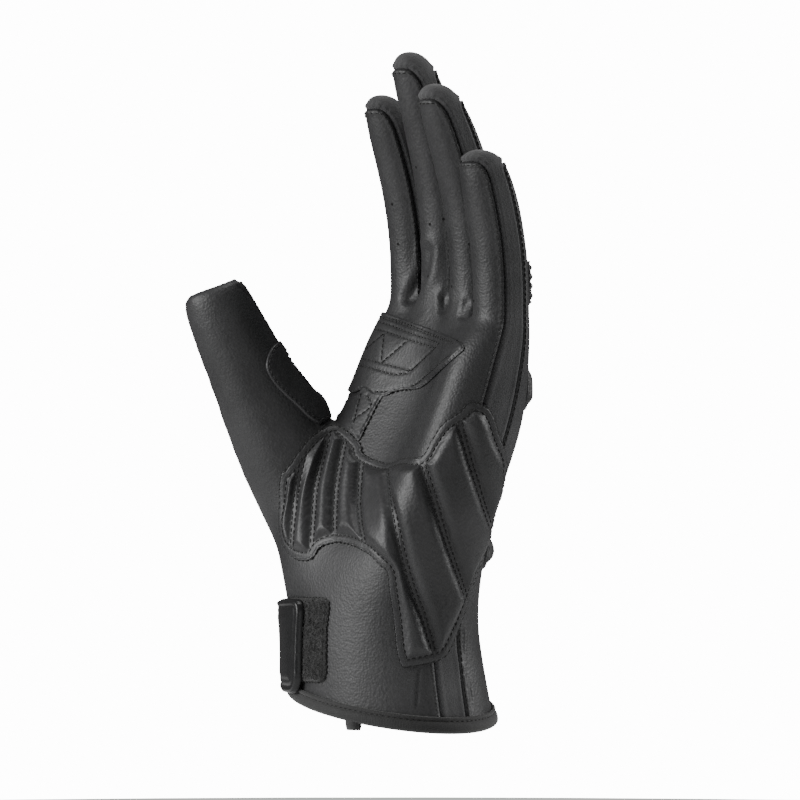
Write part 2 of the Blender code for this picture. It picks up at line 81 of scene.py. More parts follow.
Ring = namedtuple("Ring", "up across back width palm_side back_side thenar heel hollow boxy")
RINGS = (
    Ring(0.000, 0.008, 0.000, 0.97, 1.02, 1.00, 0.00, 0.00, 0.00, 0.0),
    Ring(0.200, -0.004, -0.025, 0.85, 0.92, 0.85, 0.02, 0.00, 0.00, 0.1),
    Ring(0.360, 0.010, 0.002, 0.90, 0.84, 0.79, 0.30, 0.06, 0.00, 0.2),
    Ring(0.470, 0.025, 0.045, 0.94, 0.66, 0.70, 0.46, 0.16, 0.00, 0.4),
    Ring(0.580, 0.045, 0.085, 0.96, 0.48, 0.65, 0.42, 0.26, 0.00, 0.6),
    Ring(0.690, 0.070, 0.130, 0.97, 0.36, 0.61, 0.30, 0.34, 0.02, 0.8),
    Ring(0.800, 0.095, 0.170, 0.97, 0.30, 0.50, 0.20, 0.34, 0.06, 0.9),
    Ring(0.905, 0.118, 0.200, 0.95, 0.30, 0.37, 0.12, 0.24, 0.06, 1.0),
)
THENAR_SHAPE = (0.7, 1.0, 0.9, 0.5, 0.1, 0.0, 0.0, 0.0, 0.0)
HEEL_SHAPE = (0.0, 0.0, 0.0, 0.0, 0.0, 0.12, 0.55, 1.0, 0.75)
HOLLOW_SHAPE = (0.0, 0.2, 0.6, 1.0, 1.0, 1.0, 0.5, 0.0, 0.0)
Finger = namedtuple("Finger", "name slot crotch length width back curl")
FINGERS = (
    Finger("index", -1.5, 1.000, 0.82, 0.98, 0.68, 0.45),
    Finger("middle", -0.5, 1.000, 0.98, 1.00, 0.695, 0.50),
    Finger("ring", 0.5, 0.980, 0.88, 1.00, 0.655, 0.53),
    Finger("little", 1.5, 0.955, 0.66, 1.01, 0.560, 0.27),
)
Phalanx = namedtuple("Phalanx", "along wide curled")
PHALANXES = (
    Phalanx(0.07, 0.97, 0.00),
    Phalanx(0.35, 1.00, 0.00),
    Phalanx(0.66, 0.99, 0.36),
    Phalanx(0.89, 0.90, 0.80),
    Phalanx(0.985, 0.60, 0.98),
)
TIP = Phalanx(1.02, 0.3, 1.0)
Knuckle = namedtuple("Knuckle", "across away up lean wide thick")
THUMB = (
    Knuckle(-0.370, 0.235, 0.575, 24, 1.90, 1.22),
    Knuckle(-0.450, 0.229, 0.682, 46, 1.55, 1.14),
    Knuckle(-0.580, 0.216, 0.835, 63, 1.10, 1.02),
    Knuckle(-0.702, 0.200, 1.003, 68, 0.97, 0.84),
    Knuckle(-0.724, 0.197, 1.046, 70, 0.82, 0.66),
)
THUMB_ROWS = (2, 5)
THUMB_COLUMNS = (2, 1, 0, -1)
PANELS = ("palm_panel", "back_panel") + tuple("gusset_" + finger.name for finger in FINGERS)

# Outlines and seams are drawn on squares of this size in the front view: squares to the little finger's side
# of the cuff's middle, and squares up from it.
SQUARE = 0.36 * MM

PAD_OUTLINE = (
    (-110, 231), (-105, 236), (-88, 260), (-75, 272), (-61, 278), (-52, 277), (-44, 272), (-36, 265),
    (-31, 259), (-30, 253), (-25, 248), (-10, 242), (0, 241), (13, 246), (31, 249), (40, 264), (52, 282),
    (67, 293), (76, 302), (84, 302), (94, 297), (100, 287), (105, 270), (112, 250), (111, 233), (107, 212),
    (101, 195), (97, 176), (93, 162), (83, 134), (74, 105), (65, 78), (57, 59), (50, 50), (36, 45),
    (13, 41), (9, 44), (5, 57), (2, 86), (-2, 118), (-4, 134), (-10, 141), (-23, 153), (-40, 161),
    (-54, 163), (-65, 161), (-73, 156), (-78, 148), (-86, 145), (-96, 147), (-105, 155), (-109, 164),
    (-112, 180), (-112, 201), (-112, 218),
)
PAD_CHANNELS = (
    ((-87, 258), (-93, 229), (-96, 191), (-98, 152)),
    ((-63, 273), (-70, 239), (-75, 210), (-78, 156)),
    ((-44, 268), (-50, 239), (-54, 210), (-55, 168)),
    ((-28, 247), (-30, 218), (-30, 191), (-24, 157)),
    ((0, 238), (3, 206), (10, 162), (19, 124), (32, 86), (42, 50)),
    ((31, 246), (40, 214), (50, 176), (61, 141), (72, 108)),
    ((65, 289), (76, 245), (84, 218), (95, 180)),
)
GRIP_OUTLINE = (
    (-12, 393), (-4, 392), (14, 385), (32, 379), (49, 372), (64, 364), (72, 356), (62, 346), (48, 333),
    (36, 322), (26, 316), (12, 315), (2, 313), (-6, 309), (-16, 309), (-26, 316), (-40, 312), (-46, 320),
    (-38, 338), (-30, 353), (-21, 377),
)
GRIP_SEAMS = (
    ((-14, 390), (20, 379), (64, 361)),
    ((-14, 388), (20, 377), (64, 359)),
    ((-16, 382), (-6, 381), (20, 371), (50, 361)),
    ((-18, 375), (-6, 373), (20, 364), (46, 356)),
    ((50, 361), (20, 332)),
    ((46, 356), (17, 331)),
    ((-30, 346), (-8, 341), (20, 333)),
    ((-32, 339), (-15, 335), (3, 330), (17, 331)),
    ((-29, 350), (-6, 371)),
    ((-6, 371), (-9, 341)),
    ((-9, 341), (18, 364)),
    ((-24, 313), (-7, 312), (4, 316), (24, 319), (38, 330), (60, 349)),
)
WEB_OUTLINE = (
    (-28, 318), (-18, 312), (-9, 310), (-14, 301), (-20, 289), (-26, 277), (-33, 264), (-38, 269), (-42, 276),
    (-38, 291), (-33, 306),
)
WEB_SEAMS = (((-29, 311), (-38, 277)), ((-23, 309), (-20, 297), (-39, 283)), ((-12, 306), (-32, 268)))
THUMB_OUTLINE = (
    (-116, 362), (-122, 356), (-126, 345), (-126, 335), (-119, 322), (-109, 311), (-94, 297), (-84, 287),
    (-73, 281), (-64, 286), (-62, 295), (-66, 303), (-83, 318), (-96, 333), (-112, 361),
)
WEB_CREASE = ((-71, 281), (-63, 291), (-56, 300), (-42, 309), (-29, 318))
THUMB_CREASE = ((-161, 425), (-149, 415), (-139, 402), (-117, 364))
HEEL_CREASES = (((27, 40), (24, 2)), ((71, 77), (70, 47), (68, 38), (77, 22), (78, 0)))
VENTS = (
    (24, 538), (0, 502), (38, 481), (51.5, 486), (6, 462), (36, 429), (-3, 418), (77, 460), (81, 403),
    (59.5, 418),
)

TAB_ACROSS = -38

# The closing strap: where it faces, starts and ends are turns round the wrist in degrees, its low edge is a
# share of the hand's length, and the rest is in mm.
STRAP_RADIUS = 38
STRAP_FACING = 178
STRAP_START = 95
STRAP_END = 261
STRAP_UP = 0.030
STRAP_WIDTH = 34
STRAP_CORNER = 6

# The spot that the camera looks at, in mm across the view and up, and the floor's disc, in metres.
AIM_ACROSS = 2.88
AIM_UP = 109.8
FLOOR_RADIUS = 0.6
FLOOR_SIDES = 64

# Folds of the worn leather, as the front view sees them: the line, half its width and its depth in mm.
Fold = namedtuple("Fold", "width depth line")
FOLDS = (
    Fold(1.6, -0.9, ((17, 407), (32, 433), (36, 455))),
    Fold(1.2, -0.7, ((51, 395), (52, 408))),
    Fold(1.0, -0.5, ((70, 388), (74, 402))),
)


def seen(across, up, away=0.0, turn=VIEW_TURN):
    """The point that a view from this turn sees this far across and up, and this far away."""
    return Vector((
        across * math.cos(turn) - away * math.sin(turn),
        across * math.sin(turn) + away * math.cos(turn),
        up,
    ))


def unit(rows):
    """The rows at length 1."""
    return rows / np.maximum(np.linalg.norm(rows, axis=-1, keepdims=True), 1e-12)


def vertex_normals(points, triangles):
    """Area-weighted normals of a triangle mesh's points."""
    corners = points[triangles]
    across = np.cross(corners[:, 1] - corners[:, 0], corners[:, 2] - corners[:, 0])
    total = np.zeros_like(points)
    for corner in range(3):
        for axis in range(3):
            total[:, axis] += np.bincount(triangles[:, corner], across[:, axis], len(points))
    return unit(total)


def split_quads(quads):
    """Two triangles for each quad."""
    return np.concatenate((quads[:, (0, 1, 2)], quads[:, (0, 2, 3)]))


def along_curve(points, step):
    """Points this far apart on a smooth curve through these, which may have any number of coordinates."""
    points = np.asarray(points, float)
    closed = np.allclose(points[0], points[-1])
    if closed:
        padded = np.concatenate((points[-2:-1], points, points[1:2]))
    else:
        padded = np.concatenate((2 * points[:1] - points[1:2], points, 2 * points[-1:] - points[-2:-1]))
    t = np.linspace(0, 1, 24, endpoint=False)[:, None]
    curve = []
    for a, b, c, d in zip(padded, padded[1:], padded[2:], padded[3:]):
        curve.append(b + (c - a) * t / 2 + (2 * a - 5 * b + 4 * c - d) * t ** 2 / 2
                     + (3 * b - a - 3 * c + d) * t ** 3 / 2)
    curve = np.concatenate(curve + [points[-1:]])
    run = np.concatenate(([0.0], np.cumsum(np.linalg.norm(np.diff(curve, axis=0), axis=1))))
    count = max(2, int(round(run[-1] / step)) + 1)
    wanted = np.linspace(0, run[-1], count)
    return np.stack([np.interp(wanted, run, curve[:, k]) for k in range(curve.shape[1])], axis=1)


def closed_curve(points, step):
    """The same for a closed outline; the last point is left off."""
    return along_curve(list(points) + [points[0]], step)[:-1]


def evened(outline):
    """A closed outline in even steps, with its corners a little eased."""
    ring = np.concatenate((outline, outline[:1]))
    run = np.concatenate(([0.0], np.cumsum(np.linalg.norm(np.diff(ring, axis=0), axis=1))))
    wanted = np.linspace(0, run[-1], int(run[-1] / (0.6 * MM)), endpoint=False)
    even = np.stack([np.interp(wanted, run, ring[:, k]) for k in (0, 1)], axis=1)
    for _ in range(2):
        even = (np.roll(even, 1, axis=0) + 2 * even + np.roll(even, -1, axis=0)) / 4
    return even


class Surface:
    """A smooth surface over triangles that pieces are laid on."""

    def __init__(self, points, triangles):
        self.points = points
        self.triangles = triangles
        self.normals = vertex_normals(points, triangles)
        self.tree = BVHTree.FromPolygons(points.tolist(), triangles.tolist(), all_triangles=True)

    def rounded(self, places, faces):
        """The places moved from their flat triangles to the curved surface, and its normals there."""
        corners = self.points[self.triangles[faces]]
        normals = self.normals[self.triangles[faces]]
        a, b = corners[:, 1] - corners[:, 0], corners[:, 2] - corners[:, 0]
        to = places - corners[:, 0]
        aa, ab, bb = (a * a).sum(1), (a * b).sum(1), (b * b).sum(1)
        ta, tb = (to * a).sum(1), (to * b).sum(1)
        base = np.maximum(aa * bb - ab * ab, 1e-24)
        second = np.clip((bb * ta - ab * tb) / base, 0, 1)
        third = np.clip((aa * tb - ab * ta) / base, 0, 1)
        weights = np.stack((1 - second - third, second, third), axis=1)
        flat = np.einsum("nk,nkj->nj", weights, corners)
        off = np.einsum("nkj,nkj->nk", flat[:, None, :] - corners, normals)
        bent = np.einsum("nk,nkj->nj", weights, flat[:, None, :] - off[..., None] * normals)
        return 0.25 * flat + 0.75 * bent, unit(np.einsum("nk,nkj->nj", weights, normals))

    def nearest(self, places):
        """The nearest points of the surface, and the normals there."""
        found = [self.tree.find_nearest(place) for place in places.tolist()]
        spots = np.array([hit[0][:] for hit in found])
        return self.rounded(spots, np.array([hit[2] for hit in found]))

    def cast(self, starts, ways):
        """Where rays meet the surface, and the normals there. A ray that misses goes on round the side: it
        takes the point as far behind the nearest ray that hits as it is beside it, and half as far again."""
        hits = [self.tree.ray_cast(start, way) for start, way in zip(starts.tolist(), ways.tolist())]
        found = np.array([hit[0] is not None for hit in hits])
        if not found.any():
            raise RuntimeError("no ray met the glove")
        spots = np.array([hit[0][:] if hit[0] is not None else (0, 0, 0) for hit in hits])
        faces = np.array([hit[2] if hit[0] is not None else 0 for hit in hits])
        lost = np.flatnonzero(~found)
        if len(lost):
            near = KDTree(int(found.sum()))
            for number in np.flatnonzero(found).tolist():
                near.insert(starts[number].tolist(), number)
            near.balance()
            for number in lost.tolist():
                _, beside, gap = near.find(starts[number].tolist())
                hit = self.tree.find_nearest((spots[beside] + ways[number] * gap * 1.5).tolist())
                spots[number], faces[number] = hit[0][:], hit[2]
        return self.rounded(spots, faces)


class FlatView:
    """A view along one level direction: a spot is how far across and up it sees a point."""

    def __init__(self, turn, front=True):
        turn = math.radians(turn)
        self.right = np.array(seen(1, 0, 0, turn))
        self.away = np.array(seen(0, 0, 1, turn)) * (1 if front else -1)

    def spots(self, points):
        return np.stack((points @ self.right, points[:, 2]), axis=1)

    def lay(self, surface, spots):
        starts = spots[:, :1] * self.right + np.array([0, 0, 1]) * spots[:, 1:] - self.away * REACH
        return surface.cast(starts, np.broadcast_to(self.away, starts.shape))


class RoundView:
    """A view from all round the hand. A spot is a turn, as an arc of this radius, and a height."""

    def __init__(self, radius, facing):
        self.radius = radius
        self.facing = math.radians(facing)
        self.up = np.array([ring.up for ring in RINGS]) * HAND_LENGTH
        self.middle = np.array([(ring.across, ring.back) for ring in RINGS]) * PALM_WIDTH

    def centres(self, up):
        return np.stack([np.interp(up, self.up, self.middle[:, k]) for k in (0, 1)], axis=1)

    def spots(self, points):
        out = points[:, :2] - self.centres(points[:, 2])
        angle = np.arctan2(out[:, 1], out[:, 0]) - self.facing
        angle = (angle + math.pi) % (2 * math.pi) - math.pi
        return np.stack((angle * self.radius, points[:, 2]), axis=1)

    def lay(self, surface, spots):
        angle = spots[:, 0] / self.radius + self.facing
        out = np.stack((np.cos(angle), np.sin(angle), np.zeros(len(spots))), axis=1)
        middle = np.concatenate((self.centres(spots[:, 1]), spots[:, 1:]), axis=1)
        return surface.cast(middle + out * REACH, -out)


class Line:
    """Lines on a surface, sampled finely, to measure distances from."""

    def __init__(self, curves):
        points = np.concatenate(curves)
        runs = []
        for curve in curves:
            step = np.linalg.norm(np.diff(curve, axis=0), axis=1)
            runs.append(np.concatenate(([0.0], np.cumsum(step))))
        self.runs = np.concatenate(runs)
        self.tree = KDTree(len(points))
        for number, point in enumerate(points.tolist()):
            self.tree.insert(point, number)
        self.tree.balance()

    def distances(self, points):
        """How far each point is from the lines, and how far along its line the nearest spot is."""
        found = [self.tree.find(point) for point in points.tolist()]
        return np.array([hit[2] for hit in found]), self.runs[[hit[1] for hit in found]]


def ring_points(ring):
    """The ring's points: palm side from thumb to little finger, little finger's side, back, thumb's side."""
    centre = Vector((ring.across * PALM_WIDTH, ring.back * PALM_WIDTH, ring.up * HAND_LENGTH))
    half = ring.width * PALM_WIDTH / 2
    slant = CUFF_SLANT * max(0.0, 1 - ring.up / SLANT_TOP)

    def point(column, depth, side):
        step = (column - (COLUMNS - 1) / 2) / ((COLUMNS - 1) / 2)
        angle = (column - (COLUMNS - 1) / 2) * OVAL_STEP
        across = (1 - ring.boxy) * math.sin(angle) + ring.boxy * step
        flat = CORNER_DEPTH if column in (0, COLUMNS - 1) else 1.0
        deep = (1 - ring.boxy) * math.cos(angle) + ring.boxy * flat
        return centre + Vector((half * across, side * depth * deep * PALM_DEPTH, -slant * half * across))

    palm, back = [], []
    for column in range(COLUMNS):
        lift = ring.thenar * THENAR_SHAPE[column] + ring.heel * HEEL_SHAPE[column]
        lift -= ring.hollow * HOLLOW_SHAPE[column]
        palm.append(point(column, ring.palm_side, -1) - Vector((0, lift * PALM_DEPTH, 0)))
        back.append(point(column, ring.back_side, 1))
    side = half * (1.0 + 0.04 * ring.boxy) * Vector((1, 0, -slant))
    return palm + [centre + side] + back[::-1] + [centre - side]


def finger_across(finger):
    """How far across the finger stands."""
    return TOP_ACROSS * PALM_WIDTH + finger.slot * (FINGER_WIDTH + FINGER_GAP)


def finger_ring(finger, along, wide, curled):
    """The eight points round a finger, palm side first, at this share of its length."""
    centre = Vector((
        finger_across(finger),
        (finger.back - finger.curl * curled) * PALM_DEPTH,
        finger.crotch * HAND_LENGTH + along * finger.length * FINGER_LENGTH,
    ))
    radius = CAGE_SWELL * wide * finger.width * FINGER_WIDTH / 2
    angles = [math.radians(-135 + 360 / FINGER_FACETS * facet) for facet in range(FINGER_FACETS)]
    return [centre + radius * Vector((math.cos(angle), math.sin(angle), 0)) for angle in angles]


def crotch_ring():
    """The hand's last ring, where neighbouring fingers share a point, and the points in the crotches."""
    rings = [finger_ring(finger, 0, 1, 0) for finger in FINGERS]
    palm, back, webs = [rings[0][0]], [rings[0][6]], []
    for number, ring in enumerate(rings):
        palm.append(ring[1])
        back.append(ring[5])
        if number + 1 < len(rings):
            beside = rings[number + 1]
            palm.append((ring[2] + beside[0]) / 2)
            back.append((ring[4] + beside[6]) / 2)
            webs.append((palm[-1] + back[-1]) / 2)
        else:
            palm.append(ring[2])
            back.append(ring[4])
    return palm + [rings[-1][3]] + back[::-1] + [rings[0][7]], webs


def thumb_rings():
    """The thumb's rings, from its root to its tip."""
    away = seen(0, 0, 1)
    rings = []
    for knuckle in THUMB:
        centre = seen(knuckle.across * PALM_WIDTH, knuckle.up * HAND_LENGTH, knuckle.away * PALM_WIDTH)
        lean = math.radians(knuckle.lean)
        towards_web = seen(math.sin(lean), math.cos(lean))
        ring = []
        for facet in range(12):
            angle = math.radians(-45 + 30 * facet)
            ring.append(
                centre
                + towards_web * (math.cos(angle) * THUMB_SWELL * knuckle.wide * THUMB_WIDTH / 2)
                + away * (math.sin(angle) * THUMB_SWELL * knuckle.thick * THUMB_WIDTH / 2)
            )
        rings.append(ring)
    return rings


def hand_cage():
    """The coarse cage of the glove's outer surface, open at the cuff, with its panels and gusset lines."""
    cage = bmesh.new()
    side = cage.verts.layers.float.new("side")

    def add(points, side_points=()):
        verts = [cage.verts.new(point) for point in points]
        for number in side_points:
            verts[number][side] = 1.0
        return verts

    def face(corners, on_back=False):
        cage.faces.new(corners).material_index = 1 if on_back else 0

    top, webs = crotch_ring()
    count = len(top)
    first, last = THUMB_ROWS
    rows = []
    for points in [ring_points(ring) for ring in RINGS] + [top]:
        rows.append(add(points, (COLUMNS, count - 1) if len(rows) >= last else (COLUMNS,)))
    thumb_sides = [column % count for column in THUMB_COLUMNS[1:]]
    for low in range(len(rows) - 1):
        for i in range(count):
            if first <= low < last and i in thumb_sides:
                continue
            j = (i + 1) % count
            on_back = COLUMNS <= i < count - 1
            face((rows[low][i], rows[low][j], rows[low + 1][j], rows[low + 1][i]), on_back)

    top = rows[-1]
    palm_top, back_top = top[:COLUMNS], top[COLUMNS + 1:2 * COLUMNS + 1][::-1]
    sides = [top[-1]] + add(webs, range(len(webs))) + [top[COLUMNS]]
    for number, finger in enumerate(FINGERS):
        a = 2 * number
        below = [palm_top[a], palm_top[a + 1], palm_top[a + 2], sides[number + 1],
                 back_top[a + 2], back_top[a + 1], back_top[a], sides[number]]
        for phalanx in PHALANXES:
            sewn_over = range(FINGER_FACETS) if phalanx is PHALANXES[-1] else (3, 7)
            above = add(finger_ring(finger, *phalanx), sewn_over)
            for i in range(FINGER_FACETS):
                j = (i + 1) % FINGER_FACETS
                face((below[i], below[j], above[j], above[i]), 3 <= i <= 6)
            below = above
        tip = add([sum(finger_ring(finger, *TIP), Vector()) / FINGER_FACETS], [0])[0]
        for i in range(1, FINGER_FACETS, 2):
            face((below[i - 1], below[i], tip, below[i - 2]))

    across = THUMB_COLUMNS
    below = [rows[last][column] for column in across]
    below += [rows[row][across[-1]] for row in range(last - 1, first, -1)]
    below += [rows[first][column] for column in across[::-1]]
    below += [rows[row][across[0]] for row in range(first + 1, last)]
    for ring in thumb_rings():
        above = add(ring)
        for i in range(len(ring)):
            j = (i + 1) % len(ring)
            face((below[i], below[j], above[j], above[i]), 1 <= i <= 6)
        below = above
    middle = sum((v.co for v in below), Vector()) / len(below)
    inner = add([middle.lerp(below[corner].co, 0.45) for corner in (0, 3, 6, 9)])
    for i in range(4):
        start = 3 * i
        here, there = inner[i], inner[(i + 1) % 4]
        face((below[start + 1], below[start + 2], there, here))
        face((below[start - 1], below[start], below[start + 1], here))
    face(inner)
    bmesh.ops.recalc_face_normals(cage, faces=cage.faces)
    return cage


class Hand:
    """The smooth outer form of the glove, its panels, and the seams between them."""

    def __init__(self):
        cage = hand_cage()
        mesh = bpy.data.meshes.new("form")
        cage.to_mesh(mesh)
        cage.free()
        rough = bpy.data.objects.new("form", mesh)
        bpy.context.scene.collection.objects.link(rough)
        smooth = rough.modifiers.new("smooth", "SUBSURF")
        smooth.levels = smooth.render_levels = FINENESS
        bpy.context.view_layer.update()
        evaluated = rough.evaluated_get(bpy.context.evaluated_depsgraph_get())
        fine = evaluated.to_mesh()
        self.points = np.empty(3 * len(fine.vertices))
        fine.vertices.foreach_get("co", self.points)
        self.points = self.points.reshape(-1, 3)
        self.quads = np.empty(4 * len(fine.polygons), dtype=np.int32)
        fine.loops.foreach_get("vertex_index", self.quads)
        self.quads = self.quads.reshape(-1, 4)
        panel = np.empty(len(self.quads), dtype=np.int32)
        fine.polygons.foreach_get("material_index", panel)
        side = np.empty(len(self.points), dtype=np.float32)
        fine.attributes["side"].data.foreach_get("value", side)
        evaluated.to_mesh_clear()
        bpy.data.objects.remove(rough)
        bpy.data.meshes.remove(mesh)

        middles = self.points[self.quads].mean(axis=1)
        across = np.array([finger_across(finger) for finger in FINGERS])
        nearest = np.abs(middles[:, :1] - across).argmin(axis=1)
        on_gusset = side[self.quads].mean(axis=1) > 0.5
        self.panel = np.where(on_gusset, nearest + 2, panel)
        self.find_edges()
        self.smooth_seams()
        self.triangles = split_quads(self.quads)
        self.form = Surface(self.points, self.triangles)

    def find_edges(self):
        """All edges, the faces beside them, the rim's edges and the seams' edges."""
        corners = np.stack((self.quads, np.roll(self.quads, -1, axis=1)), axis=2).reshape(-1, 2)
        faces = np.repeat(np.arange(len(self.quads)), 4)
        ordered = np.sort(corners, axis=1).astype(np.int64)
        keys = ordered[:, 0] * len(self.points) + ordered[:, 1]
        order = np.argsort(keys, kind="stable")
        keys, ordered, faces = keys[order], ordered[order], faces[order]
        start = np.concatenate(([True], keys[1:] != keys[:-1]))
        first = np.flatnonzero(start)
        twice = np.diff(np.concatenate((first, [len(keys)]))) == 2
        self.edges = ordered[first]
        self.rim_edges = ordered[first[~twice]]
        pairs = np.stack((faces[first[twice]], faces[first[twice] + 1]), axis=1)
        inner = ordered[first[twice]]
        differ = self.panel[pairs[:, 0]] != self.panel[pairs[:, 1]]
        self.seam_edges, self.seam_faces = inner[differ], pairs[differ]

    def smooth_seams(self):
        """Even out the stepped seams along the surface, and the points beside them."""
        form = Surface(self.points, split_quads(self.quads))
        count = len(self.points)
        on_seam = np.zeros(count, bool)
        on_seam[self.seam_edges] = True
        on_rim = np.zeros(count, bool)
        on_rim[self.rim_edges] = True
        beside = on_seam.copy()
        for _ in range(4):
            touched = beside[self.edges].any(axis=1)
            beside[self.edges[touched]] = True
        seam_ends = np.bincount(self.seam_edges.ravel(), minlength=count)
        moving_seam = on_seam & (seam_ends == 2) & ~on_rim
        moving_side = beside & ~on_seam & ~on_rim

        def pulled(points, edges, moving, share):
            total, ends = np.zeros_like(points), np.bincount(edges.ravel(), minlength=count)
            for a, b in ((0, 1), (1, 0)):
                for axis in range(3):
                    total[:, axis] += np.bincount(edges[:, a], points[edges[:, b], axis], count)
            mean = total / np.maximum(ends, 1)[:, None]
            return np.where(moving[:, None], points + share * (mean - points), points)

        points = self.points
        for _ in range(24):
            points = pulled(points, self.seam_edges, moving_seam, 0.6)
            points = pulled(points, self.edges, moving_side, 0.5)
        moved = np.flatnonzero(moving_seam | moving_side)
        points[moved] = form.nearest(points[moved])[0]
        self.points = points

    def seam_lines(self, on, beside):
        """The seams between a panel of the first names and one of the second, as curves with the way into
        the first panel at each point."""
        on = [PANELS.index(name) for name in on]
        beside = [PANELS.index(name) for name in beside]
        tags = self.panel[self.seam_faces]
        middles = self.points[self.quads].mean(axis=1)
        follow, inward = {}, {}
        for (a, b), (one, two), (f, g) in zip(self.seam_edges, tags, self.seam_faces):
            if one in beside and two in on:
                f, g = g, f
            elif not (one in on and two in beside):
                continue
            follow.setdefault(a, []).append(b)
            follow.setdefault(b, []).append(a)
            for end in (a, b):
                inward.setdefault(end, []).append(middles[f] - middles[g])
        lines, used = [], set()
        starts = [v for v, others in follow.items() if len(others) != 2] + list(follow)
        for start in starts:
            for step in follow[start]:
                if (start, step) in used:
                    continue
                chain = [start]
                last, here = start, step
                while True:
                    used.update(((last, here), (here, last)))
                    chain.append(here)
                    ahead = [v for v in follow[here] if v != last and (here, v) not in used]
                    if len(follow[here]) != 2 or not ahead:
                        break
                    last, here = here, ahead[0]
                if len(chain) > 6:
                    ways = unit(np.array([np.mean(inward[v], axis=0) for v in chain]))
                    for _ in range(6):
                        ways[1:-1] = unit(ways[:-2] + 2 * ways[1:-1] + ways[2:])
                    lines.append((self.points[chain], ways))
        return lines


work = {}


def glove_hand():
    """The hand's form, made once."""
    if "hand" not in work:
        work["hand"] = Hand()
    return work["hand"]


def linear(code):
    """A colour from its sRGB hex code."""
    parts = [int(code[i:i + 2], 16) / 255 for i in (1, 3, 5)]
    return tuple(c / 12.92 if c <= 0.04045 else ((c + 0.055) / 1.055) ** 2.4 for c in parts) + (1.0,)


def node(tree, kind, settings=(), links=()):
    """Add a node; settings name properties or sockets, and links go from (node, output) to a socket."""
    made = tree.nodes.new(kind)
    for name, value in dict(settings).items():
        if isinstance(name, str) and hasattr(made, name):
            setattr(made, name, value)
        else:
            made.inputs[name].default_value = value
    for name, (source, output) in dict(links).items():
        tree.links.new(source.outputs[output], made.inputs[name])
    return made


def new_material(name, shader_settings):
    """A material with one Principled shader, its tree and its object coordinates."""
    made = bpy.data.materials.new(name)
    made.use_nodes = True
    tree = made.node_tree
    tree.nodes.clear()
    shader = node(tree, "ShaderNodeBsdfPrincipled", shader_settings)
    node(tree, "ShaderNodeOutputMaterial", (), {"Surface": (shader, "BSDF")})
    place = node(tree, "ShaderNodeTexCoord")
    return made, tree, shader, (place, "Object")


def per_metre(size_mm):
    """A texture scale whose pattern repeats at this size."""
    return 1000.0 / size_mm


def leather(name, dark, light, grain, roughness, nap=0.0, relief=0.10):
    """Dyed leather: pores and creases of a real grain size, uneven dye, and a nap where it is brushed."""
    made, tree, shader, place = new_material(name, {
        "Roughness": roughness, "IOR": 1.5, "Sheen Weight": nap, "Sheen Roughness": 0.5,
        "Sheen Tint": linear("#b8b8b8"),
    })
    cloud = node(tree, "ShaderNodeTexNoise", {"Scale": per_metre(26), "Detail": 5.0, "Roughness": 0.6},
                 {"Vector": place})
    fine = node(tree, "ShaderNodeTexNoise",
                {"Scale": per_metre(grain * 1.6), "Detail": 4.0, "Roughness": 0.7}, {"Vector": place})
    both = node(tree, "ShaderNodeMath", {"operation": "MULTIPLY_ADD", 1: 0.45},
                {0: (fine, "Fac"), 2: (cloud, "Fac")})
    dye = node(tree, "ShaderNodeValToRGB", (), {"Fac": (both, "Value")})
    dye.color_ramp.elements[0].position = 0.50
    dye.color_ramp.elements[0].color = linear(dark)
    dye.color_ramp.elements[1].position = 0.95
    dye.color_ramp.elements[1].color = linear(light)
    tree.links.new(dye.outputs["Color"], shader.inputs["Base Color"])
    pores = node(tree, "ShaderNodeTexVoronoi", {
        "feature": "SMOOTH_F1", "Scale": per_metre(grain), "Smoothness": 0.35, "Randomness": 1.0,
    }, {"Vector": place})
    gloss = node(tree, "ShaderNodeMapRange", {"From Min": 0.3, "From Max": 0.75,
                                              "To Min": roughness - 0.06, "To Max": roughness + 0.08},
                 {"Value": (fine, "Fac")})
    tree.links.new(gloss.outputs["Result"], shader.inputs["Roughness"])
    rough_skin = node(tree, "ShaderNodeMath", {"operation": "MULTIPLY_ADD", 1: 0.6},
                      {0: (fine, "Fac"), 2: (pores, "Distance")})
    bump = node(tree, "ShaderNodeBump", {"Strength": 1.0, "Distance": relief * MM},
                {"Height": (rough_skin, "Value")})
    tree.links.new(bump.outputs["Normal"], shader.inputs["Normal"])
    return made


def finish(name):
    """The glove's material of this name, made once."""
    if name not in work:
        work[name] = FINISHES[name]()
    return work[name]


def goatskin():
    """Drum-dyed goatskin, smooth side out: a fine pebble with soft broad highlights."""
    look = bpy.context.scene.glove_finishes
    return leather("Goatskin_dyed", look.leather_dark, look.leather_light, 0.9, 0.50)


def pad_goatskin():
    """The same skin stretched over foam: the grain opens, so it is smoother and a little glossier."""
    look = bpy.context.scene.glove_finishes
    return leather("Goatskin_over_foam", look.leather_dark, look.leather_light, 1.1, 0.46, relief=0.07)


def suede():
    """Brushed split leather in the gussets: matt, with a short nap that lightens at the edges."""
    look = bpy.context.scene.glove_finishes
    return leather("Suede_brushed", look.suede_dark, look.suede_light, 0.6, 0.85, nap=0.35, relief=0.14)


def thread():
    """Bonded polyester thread: black, waxed, with a twist too fine to show but as a soft ripple."""
    made, tree, shader, place = new_material("Polyester_thread_bonded", {
        "Base Color": linear(bpy.context.scene.glove_finishes.thread), "Roughness": 0.55, "IOR": 1.53,
        "Sheen Weight": 0.15, "Sheen Roughness": 0.4,
    })
    twist = node(tree, "ShaderNodeTexNoise", {"Scale": per_metre(0.5), "Detail": 2.0}, {"Vector": place})
    bump = node(tree, "ShaderNodeBump", {"Strength": 1.0, "Distance": 0.08 * MM}, {"Height": (twist, "Fac")})
    tree.links.new(bump.outputs["Normal"], shader.inputs["Normal"])
    return made


